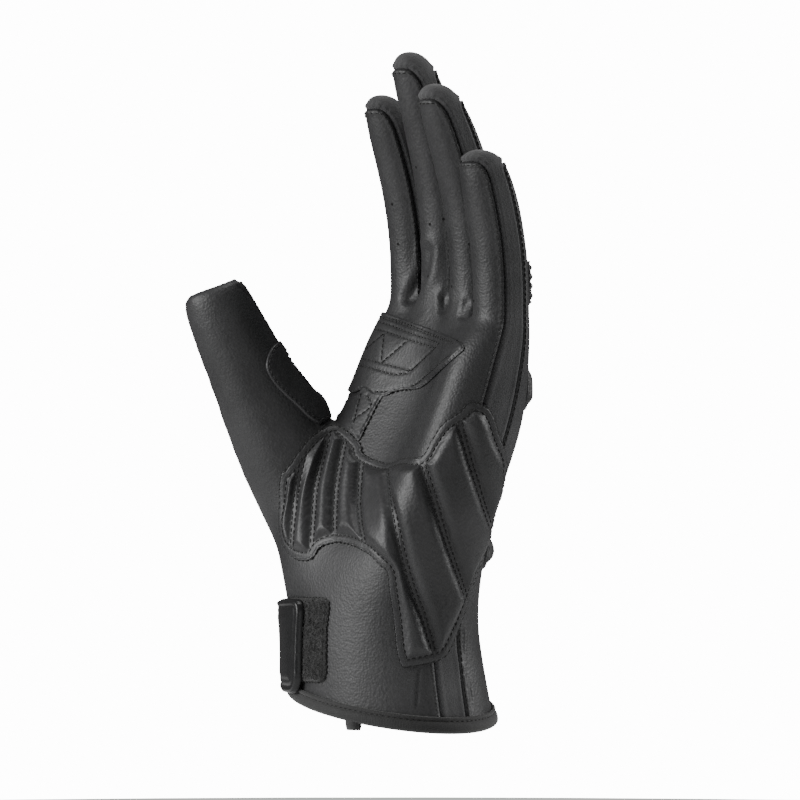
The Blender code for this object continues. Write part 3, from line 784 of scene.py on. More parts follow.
def loop_pile():
    """Brushed nylon loop: a near-black felted pile whose hooks catch small points of light."""
    made, tree, shader, place = new_material("Nylon_loop_brushed", {
        "Roughness": 0.8, "IOR": 1.53, "Sheen Weight": 0.25, "Sheen Roughness": 0.45,
    })
    tufts = node(tree, "ShaderNodeTexNoise", {"Scale": per_metre(1.3), "Detail": 6.0, "Roughness": 0.75},
                 {"Vector": place})
    tone = node(tree, "ShaderNodeValToRGB", (), {"Fac": (tufts, "Fac")})
    tone.color_ramp.elements[0].position = 0.38
    tone.color_ramp.elements[0].color = linear("#0a0a0a")
    tone.color_ramp.elements[1].position = 0.75
    tone.color_ramp.elements[1].color = linear("#3a3a3a")
    tree.links.new(tone.outputs["Color"], shader.inputs["Base Color"])
    bump = node(tree, "ShaderNodeBump", {"Strength": 1.0, "Distance": 0.5 * MM}, {"Height": (tufts, "Fac")})
    tree.links.new(bump.outputs["Normal"], shader.inputs["Normal"])
    return made


def moulded_rubber():
    """Thermoplastic rubber, moulded in a polished tool: satin gloss with rounded bright edges."""
    made, tree, shader, place = new_material("Thermoplastic_rubber_moulded", {
        "Base Color": linear(bpy.context.scene.glove_finishes.strap), "IOR": 1.5,
    })
    patch = node(tree, "ShaderNodeTexNoise", {"Scale": per_metre(6), "Detail": 4.0}, {"Vector": place})
    gloss = node(tree, "ShaderNodeMapRange", {"To Min": 0.24, "To Max": 0.42}, {"Value": (patch, "Fac")})
    tree.links.new(gloss.outputs["Result"], shader.inputs["Roughness"])
    bump = node(tree, "ShaderNodeBump", {"Strength": 1.0, "Distance": 0.04 * MM}, {"Height": (patch, "Fac")})
    tree.links.new(bump.outputs["Normal"], shader.inputs["Normal"])
    return made


def woven_tape():
    """Grosgrain tape round the cuff: fine ribs of black polyester, 0.7 mm apart."""
    made, tree, shader, place = new_material("Polyester_tape_woven", {
        "Roughness": 0.75, "IOR": 1.5, "Sheen Weight": 0.2, "Sheen Roughness": 0.5,
    })
    mottle = node(tree, "ShaderNodeTexNoise", {"Scale": per_metre(3), "Detail": 4.0}, {"Vector": place})
    tone = node(tree, "ShaderNodeValToRGB", (), {"Fac": (mottle, "Fac")})
    tone.color_ramp.elements[0].color = linear("#161616")
    tone.color_ramp.elements[1].color = linear("#2e2e2e")
    tree.links.new(tone.outputs["Color"], shader.inputs["Base Color"])
    weave = node(tree, "ShaderNodeTexVoronoi", {"feature": "F1", "Scale": per_metre(0.7), "Randomness": 0.2},
                 {"Vector": place})
    bump = node(tree, "ShaderNodeBump", {"Strength": 1.0, "Distance": 0.12 * MM},
                {"Height": (weave, "Distance")})
    tree.links.new(bump.outputs["Normal"], shader.inputs["Normal"])
    return made


def vent_painted_shade():
    """Painted shade for a punched vent: a near-black colour that stands in for the shade inside the hole,
    which is not cut through.
    """
    made, tree, shader, place = new_material("Vent_hole_painted_shade", {"Roughness": 0.95, "IOR": 1.45})
    fibre = node(tree, "ShaderNodeTexNoise", {"Scale": per_metre(0.4), "Detail": 3.0}, {"Vector": place})
    # Painted shade: this near-black tone, mottled a little, stands in for the dark inside of the vent.
    tone = node(tree, "ShaderNodeValToRGB", (), {"Fac": (fibre, "Fac")})
    tone.color_ramp.elements[0].color = linear("#050505")
    tone.color_ramp.elements[1].color = linear("#141414")
    tree.links.new(tone.outputs["Color"], shader.inputs["Base Color"])
    return made


FINISHES = {
    "goatskin": goatskin, "pad_leather": pad_goatskin, "suede": suede, "thread": thread,
    "loop_cloth": loop_pile, "moulded_strap": moulded_rubber, "binding_tape": woven_tape,
    "vent_painted_shade": vent_painted_shade,
}


def add_piece(name, points, faces, look, replaces=()):
    """Put a smooth-shaded mesh on the glove, riding on its body."""
    mesh = bpy.data.meshes.new(name)
    faces = np.asarray(faces, dtype=np.int32)
    count, sides = faces.shape
    mesh.vertices.add(len(points))
    mesh.vertices.foreach_set("co", np.asarray(points, dtype=np.float32).ravel())
    mesh.loops.add(count * sides)
    mesh.loops.foreach_set("vertex_index", faces.ravel())
    mesh.polygons.add(count)
    mesh.polygons.foreach_set("loop_start", np.arange(0, count * sides, sides, dtype=np.int32))
    mesh.update(calc_edges=True)
    mesh.validate()
    mesh.shade_smooth()
    mesh.materials.append(finish(look))
    thing = bpy.data.objects.new(name, mesh)
    bpy.context.scene.collection.objects.link(thing)
    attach(thing, "root")
    if replaces:
        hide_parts(*replaces)
    return thing


def on_squares(points):
    """Spots of the front view in metres."""
    return np.asarray(points, float) * SQUARE


FRONT = FlatView(58)


def drawn(points, surface=None, closed=False, step=0.3 * MM):
    """A curve drawn in the front view, laid on the surface."""
    surface = surface or glove_hand().form
    curve = closed_curve(on_squares(points), step) if closed else along_curve(on_squares(points), step)
    return FRONT.lay(surface, curve)[0]


def bell(distance, width):
    """1 at no distance, falling to nothing over about twice the width."""
    return np.exp(-(distance / width) ** 2)


def leather_relief(points, normals):
    """How far each point of the hand's skin stands out: seams, folds and small unevenness."""
    hand = glove_hand()
    sizes = bpy.context.scene.glove_sizes
    seams = Line([along_curve(curve, 0.3 * MM) for curve, _ in
                  hand.seam_lines(PANELS, PANELS)])
    far, run = seams.distances(points)
    depth = sizes.seam_depth * MM
    lift = -depth * bell(far, 0.55 * MM) + 0.45 * depth * bell(far - 1.3 * MM, 0.9 * MM)
    lift += 0.10 * MM * bell(far - 1.4 * MM, 1.2 * MM) * np.cos(run / (sizes.stitch_pitch * MM) * 2 * math.pi)
    towards = normals @ FRONT.away < -0.05
    spots = FRONT.spots(points)
    for width, deep, line in FOLDS:
        curve = along_curve(on_squares(line), 0.5 * MM)
        low, high = curve.min(axis=0) - 4 * width * MM, curve.max(axis=0) + 4 * width * MM
        near = np.flatnonzero(towards & (spots > low).all(axis=1) & (spots < high).all(axis=1))
        if not len(near):
            continue
        gaps = np.linalg.norm(spots[near][:, None, :] - curve[None], axis=2).min(axis=1)
        lift[near] += deep * MM * (bell(gaps, width * MM) - 0.45 * bell(gaps - 2.2 * width * MM, width * MM))
    creases = Line([drawn(line) for line in (WEB_CREASE, THUMB_CREASE) + HEEL_CREASES])
    far, _ = creases.distances(points)
    lift -= 0.5 * MM * bell(far, 0.5 * MM) - 0.2 * MM * bell(far - 1.2 * MM, 0.8 * MM)
    broad = np.array([noise.noise(Vector(p) * 55.0) for p in points.tolist()])
    small = np.array([noise.noise(Vector((p[0], p[1], p[2] * 1.8)) * 210.0) for p in points.tolist()])
    return lift + (0.22 * broad + 0.05 * small) * MM


def glove_skin():
    """The outer surface of the leather as it lies, with its seams and folds."""
    if "skin" not in work:
        hand = glove_hand()
        lift = leather_relief(hand.points, hand.form.normals)
        work["skin"] = Surface(hand.points + hand.form.normals * lift[:, None], hand.triangles)
    return work["skin"]


def add_panel(name, look):
    """One leather panel: its outer skin, its lining side and its cut edges."""
    hand, skin = glove_hand(), glove_skin()
    wall = bpy.context.scene.glove_sizes.wall * MM
    quads = hand.quads[hand.panel == PANELS.index(name)]
    used, local = np.unique(quads, return_inverse=True)
    quads = local.reshape(-1, 4)
    outer = skin.points[used]
    inner = hand.points[used] - hand.form.normals[used] * wall
    corners = np.stack((quads, np.roll(quads, -1, axis=1)), axis=2).reshape(-1, 2)
    keys = corners[:, 0].astype(np.int64) * len(used) + corners[:, 1]
    back = corners[:, 1].astype(np.int64) * len(used) + corners[:, 0]
    border = corners[~np.isin(keys, back)]
    count = len(used)
    sides = np.stack((border[:, 1], border[:, 0], border[:, 0] + count, border[:, 1] + count), axis=1)
    faces = np.concatenate((quads, quads[:, ::-1] + count, sides))
    return add_piece(name + "_leather", np.concatenate((outer, inner)), faces, look, (name,))


def thread_stitch():
    """One stitch of unit length along x, humped in z, with its ends dipping: points and faces."""
    rings, sides = 7, 6
    points, faces = [], []
    for ring in range(rings):
        t = ring / (rings - 1)
        thick = math.sin(math.pi * (0.12 + 0.76 * t)) ** 0.5
        along = -0.5 + t
        hump = 0.35 * math.sin(math.pi * t)
        for side in range(sides):
            angle = 2 * math.pi * side / sides
            points.append((along, math.cos(angle) * thick, hump + math.sin(angle) * thick))
    for ring in range(rings - 1):
        for side in range(sides):
            a, b = ring * sides + side, ring * sides + (side + 1) % sides
            faces.append((a, b, b + sides, a + sides))
    ends = ((0, 1, 2, 3), (0, 3, 4, 5))
    last = (rings - 1) * sides
    faces += [tuple(end[::-1]) for end in ends] + [tuple(last + k for k in end) for end in ends]
    return np.array(points, float), np.array(faces)


def sew(name, surface, curves, pitch=None, length=None):
    """Rows of stitches along curves that lie on the surface."""
    sizes = bpy.context.scene.glove_sizes
    pitch = (pitch or sizes.stitch_pitch) * MM
    length = (length or sizes.stitch_length) * MM
    radius = sizes.thread / 2 * MM
    pattern, faces = thread_stitch()
    centres, ways = [], []
    for curve in curves:
        points = along_curve(curve, pitch / 2)
        if len(points) < 3:
            continue
        centres.append(points[1:-1:2])
        ways.append(unit(points[2::2][:len(points[1:-1:2])] - points[0:-2:2][:len(points[1:-1:2])]))
    centres, ways = np.concatenate(centres), np.concatenate(ways)
    feet, up = surface.nearest(centres)
    ways = unit(ways - up * (ways * up).sum(axis=1, keepdims=True))
    beside = np.cross(up, ways)
    x = pattern[:, 0] * length
    y = pattern[:, 1] * radius
    z = pattern[:, 2] * radius + radius * 0.25
    points = (feet[:, None] + ways[:, None] * x[None, :, None] + beside[:, None] * y[None, :, None]
              + up[:, None] * z[None, :, None])
    everything = faces[None] + (np.arange(len(feet)) * len(pattern))[:, None, None]
    return add_piece(name, points.reshape(-1, 3), everything.reshape(-1, 4), "thread")


def inset(curve, surface, amount):
    """A closed curve on the surface, moved this far inwards along it."""
    feet, up = surface.nearest(curve)
    along = unit(np.roll(feet, -2, axis=0) - np.roll(feet, 2, axis=0))
    into = np.cross(up, along)
    middle = feet.mean(axis=0)
    if ((middle - feet) * into).sum() < 0:
        into = -into
    for _ in range(8):
        into = unit(np.roll(into, 1, axis=0) + into + np.roll(into, -1, axis=0))
    return surface.nearest(feet + into * amount)[0]


def drape(name, view, outline, height, look, replaces=(), spacing=0.5, base=None, sink=0.4):
    """A piece that lies on the hand inside an outline of spots in a view. height gives how far its top stands
    out at each point, from the point and its distance from the edge. Returns the piece, its top surface and
    its edge on the hand."""
    base = base or glove_hand().form
    step = spacing * MM
    rim = closed_curve(outline, step)
    edge, edge_up = view.lay(base, rim)
    rim_line = Line([np.concatenate((edge, edge[:1]))])

    def filled(gap, margin):
        low, high = rim.min(axis=0), rim.max(axis=0)
        rows = np.arange(low[1], high[1], gap * 0.866)
        grid = []
        for number, row in enumerate(rows):
            columns = np.arange(low[0] + (number % 2) * gap / 2, high[0], gap)
            grid.append(np.stack((columns, np.full(len(columns), row)), axis=1))
        grid = np.concatenate(grid)
        grid = grid[inside(grid, rim)]
        places, ups = view.lay(base, grid)
        keep = rim_line.distances(places)[0] > margin
        grid, places, ups = grid[keep], places[keep], ups[keep]
        spots = np.concatenate((rim, grid))
        ring = [(i, (i + 1) % len(rim)) for i in range(len(rim))]
        found = delaunay_2d_cdt([Vector(spot) for spot in spots.tolist()], ring,
                                [list(range(len(rim)))], 1, 1e-9, True)
        if len(found[0]) != len(spots):
            raise RuntimeError(f"{name}: the outline crosses itself")
        first = np.array([min(ids) for ids in found[3]])
        faces = first[np.array([face for face in found[2] if len(face) == 3])]
        return faces[inside(spots[faces].mean(axis=1), rim)], places, ups

    top_faces, places, ups = filled(step, 0.6 * step)
    under_faces, under_places, under_ups = filled(4 * MM, 2 * MM)
    tops = np.concatenate((edge, places))
    top_ups = np.concatenate((edge_up, ups))
    far = np.concatenate((np.zeros(len(edge)), rim_line.distances(places)[0]))
    top = tops + top_ups * height(tops, far)[:, None]
    corners = top[top_faces[:, :3]]
    facing = (np.cross(corners[:, 1] - corners[:, 0], corners[:, 2] - corners[:, 0])
              * top_ups[top_faces[:, 0]]).sum()
    if facing < 0:
        top_faces, under_faces = top_faces[:, ::-1], under_faces[:, ::-1]
    count, rim_count = len(top), len(edge)
    under = np.concatenate((edge - edge_up * sink * MM, under_places - under_ups * sink * MM))
    ring = np.arange(rim_count)
    after = (ring + 1) % rim_count
    if facing < 0:
        ring, after = after, ring
    sides = np.concatenate((
        np.stack((after, ring, ring + count), axis=1), np.stack((after, ring + count, after + count), axis=1),
    ))
    faces = np.concatenate((top_faces, under_faces[:, ::-1] + count, sides))
    thing = add_piece(name, np.concatenate((top, under)), faces, look, replaces)
    return thing, Surface(top, top_faces), edge


def inside(spots, outline):
    """Which spots lie inside a closed outline."""
    result = np.zeros(len(spots), bool)
    for (x0, y0), (x1, y1) in zip(outline, np.roll(outline, -1, axis=0)):
        crosses = (y0 > spots[:, 1]) != (y1 > spots[:, 1])
        with np.errstate(divide="ignore", invalid="ignore"):
            at = (x1 - x0) * (spots[:, 1] - y0) / (y1 - y0) + x0
        result ^= crosses & (spots[:, 0] < at)
    return result


def rounded_edge(far, thick, radius, rim=0.35):
    """The height of a cut edge's shoulder at this distance from it."""
    t = np.clip(far / radius, 0, 1)
    return thick * (rim + (1 - rim) * np.sqrt(1 - (1 - t) ** 2))


def swell(far, reach):
    """From 0 to 1 over this reach, steep at first, as foam rises beside a row of stitches."""
    t = np.clip(far / reach, 0, 1)
    return 1 - (1 - t) ** 2.4


class GloveSizes(PropertyGroup):
    """Sizes of the leather and the sewing, in millimetres."""
    wall: FloatProperty(name="Leather", description="Thickness of the hand's leather, mm",
                        default=1.4, min=0.5)
    stitch_pitch: FloatProperty(name="Stitch pitch", description="From one stitch to the next, mm",
                                default=2.2, min=1.0)
    stitch_length: FloatProperty(name="Stitch length", description="Seen length of a stitch, mm",
                                 default=1.5, min=0.5)
    thread: FloatProperty(name="Thread", description="Thickness of the thread, mm", default=0.52, min=0.2)
    seam_depth: FloatProperty(name="Seam depth", description="How deep the seams pull in, mm", default=0.7)
    ledge: FloatProperty(name="Pad edge", description="Height of the pad's sewn edge, mm", default=1.35)
    cushion: FloatProperty(name="Cushion", description="How far the pad's cushions rise above it, mm",
                           default=2.3)
    patch: FloatProperty(name="Patch", description="Thickness of a sewn-on patch, mm", default=1.2)
    hairs: IntProperty(name="Pile", description="Loops in the loop patch", default=3600, min=0)


class GloveFinishes(PropertyGroup):
    """Colours of the leather and trim, as sRGB hex codes."""
    leather_dark: StringProperty(name="Leather, dark", description="Deepest dye of the goatskin",
                                 default="#242425")
    leather_light: StringProperty(name="Leather, light", description="Lightest dye of the goatskin",
                                  default="#383839")
    suede_dark: StringProperty(name="Suede, dark", description="Deepest dye of the gussets",
                               default="#303031")
    suede_light: StringProperty(name="Suede, light", description="Lightest dye of the gussets",
                                default="#4c4c4d")
    thread: StringProperty(name="Thread", description="Dye of the thread", default="#0c0c0c")
    strap: StringProperty(name="Strap", description="Colour of the moulded strap", default="#1c1c1d")


class GloveStage(PropertyGroup):
    """The camera and the lights."""
    lens: FloatProperty(name="Lens", description="Focal length of the camera, mm", default=400.0)
    distance: FloatProperty(name="Distance", description="From the camera to the glove", default=3.2,
                            unit="LENGTH")
    floor: FloatProperty(name="Floor", description="Height of the floor", default=-0.06, unit="LENGTH")
    glow: FloatProperty(name="Glow", description="Light from all round", default=0.10)
    left: FloatProperty(name="Left light", description="Power of the softbox on the thumb's side, W",
                        default=16.0)
    right: FloatProperty(name="Right light", description="Power of the one behind the little finger, W",
                         default=8.0)
    top: FloatProperty(name="Top light", description="Power of the light over the fingertips, W",
                       default=5.0)
    front: FloatProperty(name="Front light", description="Power of the fill beside the camera, W", default=1.5)


class GLOVE_OT_hand(Operator):
    """Lay the leather of the palm and the back, and the suede gussets between the fingers"""
    bl_idname = "glove.hand"
    bl_label = "Hand panels"

    def execute(self, context):
        for name in PANELS:
            look = "suede" if name.startswith("gusset") else "goatskin"
            add_panel(name, look)
        return {"FINISHED"}


class GLOVE_OT_seams(Operator):
    """Sew the panels together along the fingers, the thumb and the sides of the hand"""
    bl_idname = "glove.seams"
    bl_label = "Seam stitches"

    def execute(self, context):
        hand, skin = glove_hand(), glove_skin()
        gussets = PANELS[2:]
        rows = []
        for on, beside, offset in (
            (("palm_panel",), gussets, 1.5), (("back_panel",), gussets, 1.0),
        ):
            for curve, ways in hand.seam_lines(on, beside):
                rows.append(skin.nearest(curve + ways * offset * MM)[0])
        sew("seam_stitches", skin, rows)
        return {"FINISHED"}


class GLOVE_OT_palm_pad(Operator):
    """Sew the foam pad across the heel of the hand, with its channels"""
    bl_idname = "glove.palm_pad"
    bl_label = "Palm pad"

    def execute(self, context):
        sizes = context.scene.glove_sizes
        hand = glove_hand()
        channels = [drawn(line) for line in PAD_CHANNELS]
        lines = Line(channels)
        pitch = sizes.stitch_pitch * MM

        def height(points, far):
            gap, run = lines.distances(points)
            ledge = 3.0 * MM
            rise = np.minimum(far - ledge, gap - 1.15 * MM)
            pucker = 0.09 * MM * bell(np.maximum(rise, 0) - 0.4 * MM, 1.5 * MM) * np.cos(
                run / pitch * math.pi + 3 * far / MM)
            rows = bell(gap - 0.72 * MM, 0.3 * MM) + bell(far - 0.9 * MM, 0.3 * MM) + bell(
                far - 2.5 * MM, 0.3 * MM)
            grain = np.array([noise.noise(Vector(p) * 120.0) for p in points.tolist()])
            top = rounded_edge(far, sizes.ledge * MM, 0.7 * MM)
            top = top + sizes.cushion * MM * swell(rise, 4.2 * MM)
            return top - 0.16 * MM * np.minimum(rows, 1) + pucker * (rise > 0) + 0.12 * MM * grain

        pad, top, outline = drape("palm_pad_leather", FRONT, on_squares(PAD_OUTLINE), height,
                                  "pad_leather", ("palm_pad",), spacing=0.48)
        edge = closed_curve(outline, 0.5 * MM)
        rows = []
        for amount in (0.9, 2.5):
            row = inset(edge, hand.form, amount * MM)
            rows.append(np.concatenate((row, row[:1])))
        for curve in channels:
            feet, up = hand.form.nearest(along_curve(curve, 1 * MM))
            along = unit(np.gradient(feet, axis=0))
            beside = np.cross(up, along)
            far, _ = Line([edge]).distances(feet)
            keep = far > 2.2 * MM
            for side in (-0.72, 0.72):
                rows.append((feet + beside * side * MM)[keep])
        sew("palm_pad_stitches", top, rows)
        return {"FINISHED"}


class GLOVE_OT_patches(Operator):
    """Sew on the grip patch, the strap in the web and the thumb's patch"""
    bl_idname = "glove.patches"
    bl_label = "Palm patches"

    def execute(self, context):
        thick = context.scene.glove_sizes.patch * MM
        for name, outline, seams, margin in (
            ("grip_patch", GRIP_OUTLINE, GRIP_SEAMS, None),
            ("web_strap", WEB_OUTLINE, WEB_SEAMS, None),
            ("thumb_patch", THUMB_OUTLINE, (), 1.1),
        ):
            rows = [drawn(line) for line in seams]
            if margin:
                row = inset(drawn(outline, closed=True, step=0.5 * MM), glove_hand().form, margin * MM)
                rows.append(np.concatenate((row, row[:1])))
            lines = Line(rows)
            pitch = context.scene.glove_sizes.stitch_pitch * MM

            def height(points, far):
                gap, run = lines.distances(points)
                grain = np.array([noise.noise(Vector(p) * 140.0) for p in points.tolist()])
                dip = 0.28 * MM * bell(gap, 0.5 * MM) * (0.75 + 0.25 * np.cos(run / pitch * 2 * math.pi))
                return rounded_edge(far, thick, 0.6 * MM) - dip + 0.1 * MM * grain

            _, top, _ = drape(name + "_leather", FRONT, on_squares(outline), height, "pad_leather",
                              (name,), spacing=0.42)
            sew(name + "_stitches", top, rows)
        return {"FINISHED"}


class GLOVE_OT_back_pads(Operator):
    """Sew the padded leather over the knuckles and the roll over the wrist"""
    bl_idname = "glove.back_pads"
    bl_label = "Back pads"

    def execute(self, context):
        back = FlatView(0, front=False)
        form = glove_hand().form
        for name, outline, thick, cells, reach in (
            ("knuckle_pad", (
                (-0.260, 0.745), (-0.100, 0.725), (0.110, 0.715), (0.320, 0.725), (0.480, 0.745),
                (0.500, 0.800), (0.460, 0.850), (0.320, 0.865), (0.110, 0.875), (-0.100, 0.870),
                (-0.250, 0.850), (-0.285, 0.800),
            ), 2.8, (-0.08, 0.13, 0.34), 4.0),
            ("wrist_roll", (
                (-0.300, 0.350), (-0.120, 0.335), (0.030, 0.330), (0.200, 0.335), (0.340, 0.350),
                (0.350, 0.390), (0.320, 0.430), (0.200, 0.440), (0.030, 0.445), (-0.120, 0.440),
                (-0.280, 0.430), (-0.310, 0.390),
            ), 3.6, (), 7.0),
        ):
            spots = closed_curve(np.array(outline) * (PALM_WIDTH, HAND_LENGTH), 0.5 * MM)
            edge, _ = back.lay(form, spots)
            bounds = spots.min(axis=0), spots.max(axis=0)
            rows = []
            for cell in cells:
                line = np.array(((cell * PALM_WIDTH, bounds[0][1] + 2 * MM),
                                 (cell * PALM_WIDTH, bounds[1][1] - 2 * MM)))
                rows.append(back.lay(form, along_curve(line, 0.4 * MM))[0])
            ring = inset(edge, form, 1.2 * MM)
            rows.append(np.concatenate((ring, ring[:1])))
            lines = Line(rows)

            def height(points, far):
                gap, _ = lines.distances(points)
                grain = np.array([noise.noise(Vector(p) * 120.0) for p in points.tolist()])
                rise = np.minimum(gap - 0.5 * MM, np.where(far > 1.2 * MM, far, 0))
                return (rounded_edge(far, 1.1 * MM, 0.6 * MM) + (thick - 0.7) * MM * swell(rise, reach * MM)
                        - 0.2 * MM * bell(gap, 0.4 * MM) + 0.12 * MM * grain)

            pad, top, _ = drape(name + "_leather", back, spots, height, "pad_leather",
                                (name,))
            sew(name + "_stitches", top, rows)
            if name == "wrist_roll":
                # The vents are discs of near-black painted shade on the roll, not holes through it.
                add_holes("wrist_roll_vents", top, grid_spots(back, top, edge, 5.0, 3.6))
        return {"FINISHED"}


def grid_spots(view, surface, edge, gap, margin):
    """Points in offset rows on the surface, inside a closed curve."""
    rim = view.spots(edge)
    low, high = rim.min(axis=0), rim.max(axis=0)
    grid = []
    for number, row in enumerate(np.arange(low[1], high[1], gap * MM * 0.8)):
        columns = np.arange(low[0] + (number % 2) * gap / 2 * MM, high[0], gap * MM)
        grid.append(np.stack((columns, np.full(len(columns), row)), axis=1))
    grid = np.concatenate(grid)
    grid = grid[inside(grid, rim)]
    points, _ = view.lay(surface, grid)
    far, _ = Line([edge]).distances(points)
    return points[far > margin * MM]


def add_holes(name, surface, points, radius=0.42):
    """Small vent holes, not cut through: a shallow dish with a soft raised lip at each point, all in
    near-black painted shade for the hole's dark inside.
    """
    feet, up = surface.nearest(points)
    side = unit(np.cross(up, np.array([0.3, 0.2, 1.0])))
    other = np.cross(up, side)
    rings = ((0.0, -0.10), (0.55, -0.06), (0.9, 0.05), (1.05, 0.09), (1.3, 0.0))
    count = 12
    angles = np.linspace(0, 2 * math.pi, count, endpoint=False)
    pattern = [(0.0, 0.0, rings[0][1])]
    for share, high in rings[1:]:
        pattern += [(share * math.cos(a), share * math.sin(a), high) for a in angles]
    pattern = np.array(pattern) * (radius * MM)
    faces = []
    for k in range(count):
        faces.append((0, 1 + k, 1 + (k + 1) % count))
        for ring in range(len(rings) - 2):
            a, b = 1 + ring * count + k, 1 + ring * count + (k + 1) % count
            faces += [(a, a + count, b + count), (a, b + count, b)]
    faces = np.array(faces)
    points = (feet[:, None] + side[:, None] * pattern[None, :, :1] + other[:, None] * pattern[None, :, 1:2]
              + up[:, None] * (pattern[None, :, 2:] + 0.06 * MM))
    everything = faces[None] + (np.arange(len(feet)) * len(pattern))[:, None, None]
    return add_piece(name, points.reshape(-1, 3), everything.reshape(-1, 3), "vent_painted_shade")


class GLOVE_OT_flex(Operator):
    """Lay the ribbed stretch panels on the backs of the fingers"""
    bl_idname = "glove.flex"
    bl_label = "Flex panels"

    def execute(self, context):
        back = FlatView(0, front=False)
        form = glove_hand().form
        for finger in FINGERS:
            low, high = (finger.crotch * HAND_LENGTH + share * finger.length * FINGER_LENGTH
                         for share in (0.10, 0.36))
            middle, half = finger_across(finger), 0.33 * FINGER_WIDTH
            corner = 2.5 * MM
            spots = evened([
                (middle - half, low + corner), (middle - half + corner * 0.3, low + corner * 0.3),
                (middle - half + corner, low), (middle + half - corner, low),
                (middle + half - corner * 0.3, low + corner * 0.3), (middle + half, low + corner),
                (middle + half, high - corner), (middle + half - corner * 0.3, high - corner * 0.3),
                (middle + half - corner, high), (middle - half + corner, high),
                (middle - half + corner * 0.3, high - corner * 0.3), (middle - half, high - corner),
            ])
            edge, _ = back.lay(form, spots)

            def height(points, far):
                ribs = 0.5 + 0.5 * np.cos((points[:, 2] - low) / (3.4 * MM) * 2 * math.pi)
                return rounded_edge(far, 0.7 * MM, 0.5 * MM) + 0.9 * MM * ribs ** 0.7 * swell(
                    far - 1.2 * MM, 1.5 * MM)

            _, top, _ = drape("flex_" + finger.name + "_leather", back, spots, height, "goatskin",
                              ("flex_" + finger.name,), spacing=0.45)
            row = inset(edge, form, 0.8 * MM)
            sew("flex_" + finger.name + "_stitches", top, [np.concatenate((row, row[:1]))])
        return {"FINISHED"}


def band_outline(view, start, end, low, high, corner):
    """The spots of a rounded rectangle round the wrist, between two turns in degrees and two heights."""
    turns = (np.radians([start, end]) - view.facing + math.pi) % (2 * math.pi) - math.pi
    left, right = sorted(turns * view.radius)
    spots = []
    for (x, y), (dx, dy) in (((left, low), (1, 1)), ((right, low), (-1, 1)),
                             ((right, high), (-1, -1)), ((left, high), (1, -1))):
        arc = []
        for k in range(7):
            angle = math.pi / 2 * k / 6
            arc.append((x + dx * corner * (1 - math.cos(angle)), y + dy * corner * (1 - math.sin(angle))))
        spots += arc if dx * dy > 0 else arc[::-1]
    spots = evened(spots)
    hand = glove_hand()
    rim = view.spots(hand.points[np.unique(hand.rim_edges)])
    rim = rim[np.argsort(rim[:, 0])]
    spots[:, 1] = np.maximum(spots[:, 1], np.interp(spots[:, 0], rim[:, 0], rim[:, 1]) + 0.8 * MM)
    return evened(spots)


class GLOVE_OT_loop_patch(Operator):
    """Sew the loop patch to the wrist and raise its pile"""
    bl_idname = "glove.loop_patch"
    bl_label = "Loop patch"

    def execute(self, context):
        form = glove_hand().form
        view = RoundView(38 * MM, 250)
        spots = band_outline(view, 235, 285, 0.062 * HAND_LENGTH, 0.062 * HAND_LENGTH + 30 * MM, 4 * MM)

        def height(points, far):
            rough = np.array([noise.noise(Vector(p) * 700.0) for p in points.tolist()])
            return (rounded_edge(far, 0.9 * MM, 0.5 * MM) + 0.35 * MM * swell(far - 1.0 * MM, 0.8 * MM)
                    + 0.22 * MM * rough * (far > 1.0 * MM))

        _, top, edge = drape("loop_patch_cloth", view, spots, height, "loop_cloth",
                             ("loop_patch",), spacing=0.45)
        row = inset(edge, form, 0.7 * MM)
        sew("loop_patch_stitches", top, [np.concatenate((row, row[:1]))], pitch=1.9, length=1.3)

        random = np.random.default_rng(7)
        low, high = spots.min(axis=0), spots.max(axis=0)
        count = context.scene.glove_sizes.hairs
        seeds = low + (high - low) * random.random((count, 2))
        seeds = seeds[inside(seeds, spots)]
        feet, up = view.lay(top, seeds)
        far, _ = Line([edge]).distances(feet)
        feet, up = feet[far > 1.3 * MM], up[far > 1.3 * MM]
        lean = unit(up + 0.9 * random.normal(size=up.shape))
        side = unit(np.cross(lean, up + 0.01))
        spread = (0.25 + 0.35 * random.random((len(feet), 1))) * MM
        tall = (0.35 + 0.45 * random.random((len(feet), 1))) * MM
        thin = unit(np.cross(side, lean)) * 0.045 * MM
        rings = []
        for k in range(6):
            t = math.pi * k / 5
            middle = feet + side * spread * math.cos(t) + lean * tall * math.sin(t)
            rings.append(np.stack((middle - thin, middle + side * 0.045 * MM, middle + thin), axis=1))
        points = np.concatenate(rings, axis=1)
        faces = []
        for k in range(5):
            for j in range(3):
                a, b = 3 * k + j, 3 * k + (j + 1) % 3
                faces.append((a, b, b + 3, a + 3))
        faces = np.array(faces)
        everything = faces[None] + (np.arange(len(feet)) * 18)[:, None, None]
        add_piece("loop_patch_pile", points.reshape(-1, 3), everything.reshape(-1, 4), "loop_cloth")
        return {"FINISHED"}


class GLOVE_OT_strap(Operator):
    """Wrap the moulded strap round the wrist"""
    bl_idname = "glove.strap"
    bl_label = "Wrist strap"

    def execute(self, context):
        view = RoundView(STRAP_RADIUS * MM, STRAP_FACING)
        low = STRAP_UP * HAND_LENGTH
        high = low + STRAP_WIDTH * MM
        spots = band_outline(view, STRAP_START, STRAP_END, low, high, STRAP_CORNER * MM)

        def height(points, far):
            border = 0.35 * MM * bell(far - 2.6 * MM, 0.8 * MM)
            step = 0.5 * MM * swell(far - 5.0 * MM, 2.0 * MM)
            return 1.6 * MM + rounded_edge(far, 2.5 * MM, 1.5 * MM, 0.1) - border + step * 0.6

        drape("wrist_strap_moulded", view, spots, height, "moulded_strap", ("wrist_strap",),
              spacing=0.6, sink=-1.6)
        return {"FINISHED"}


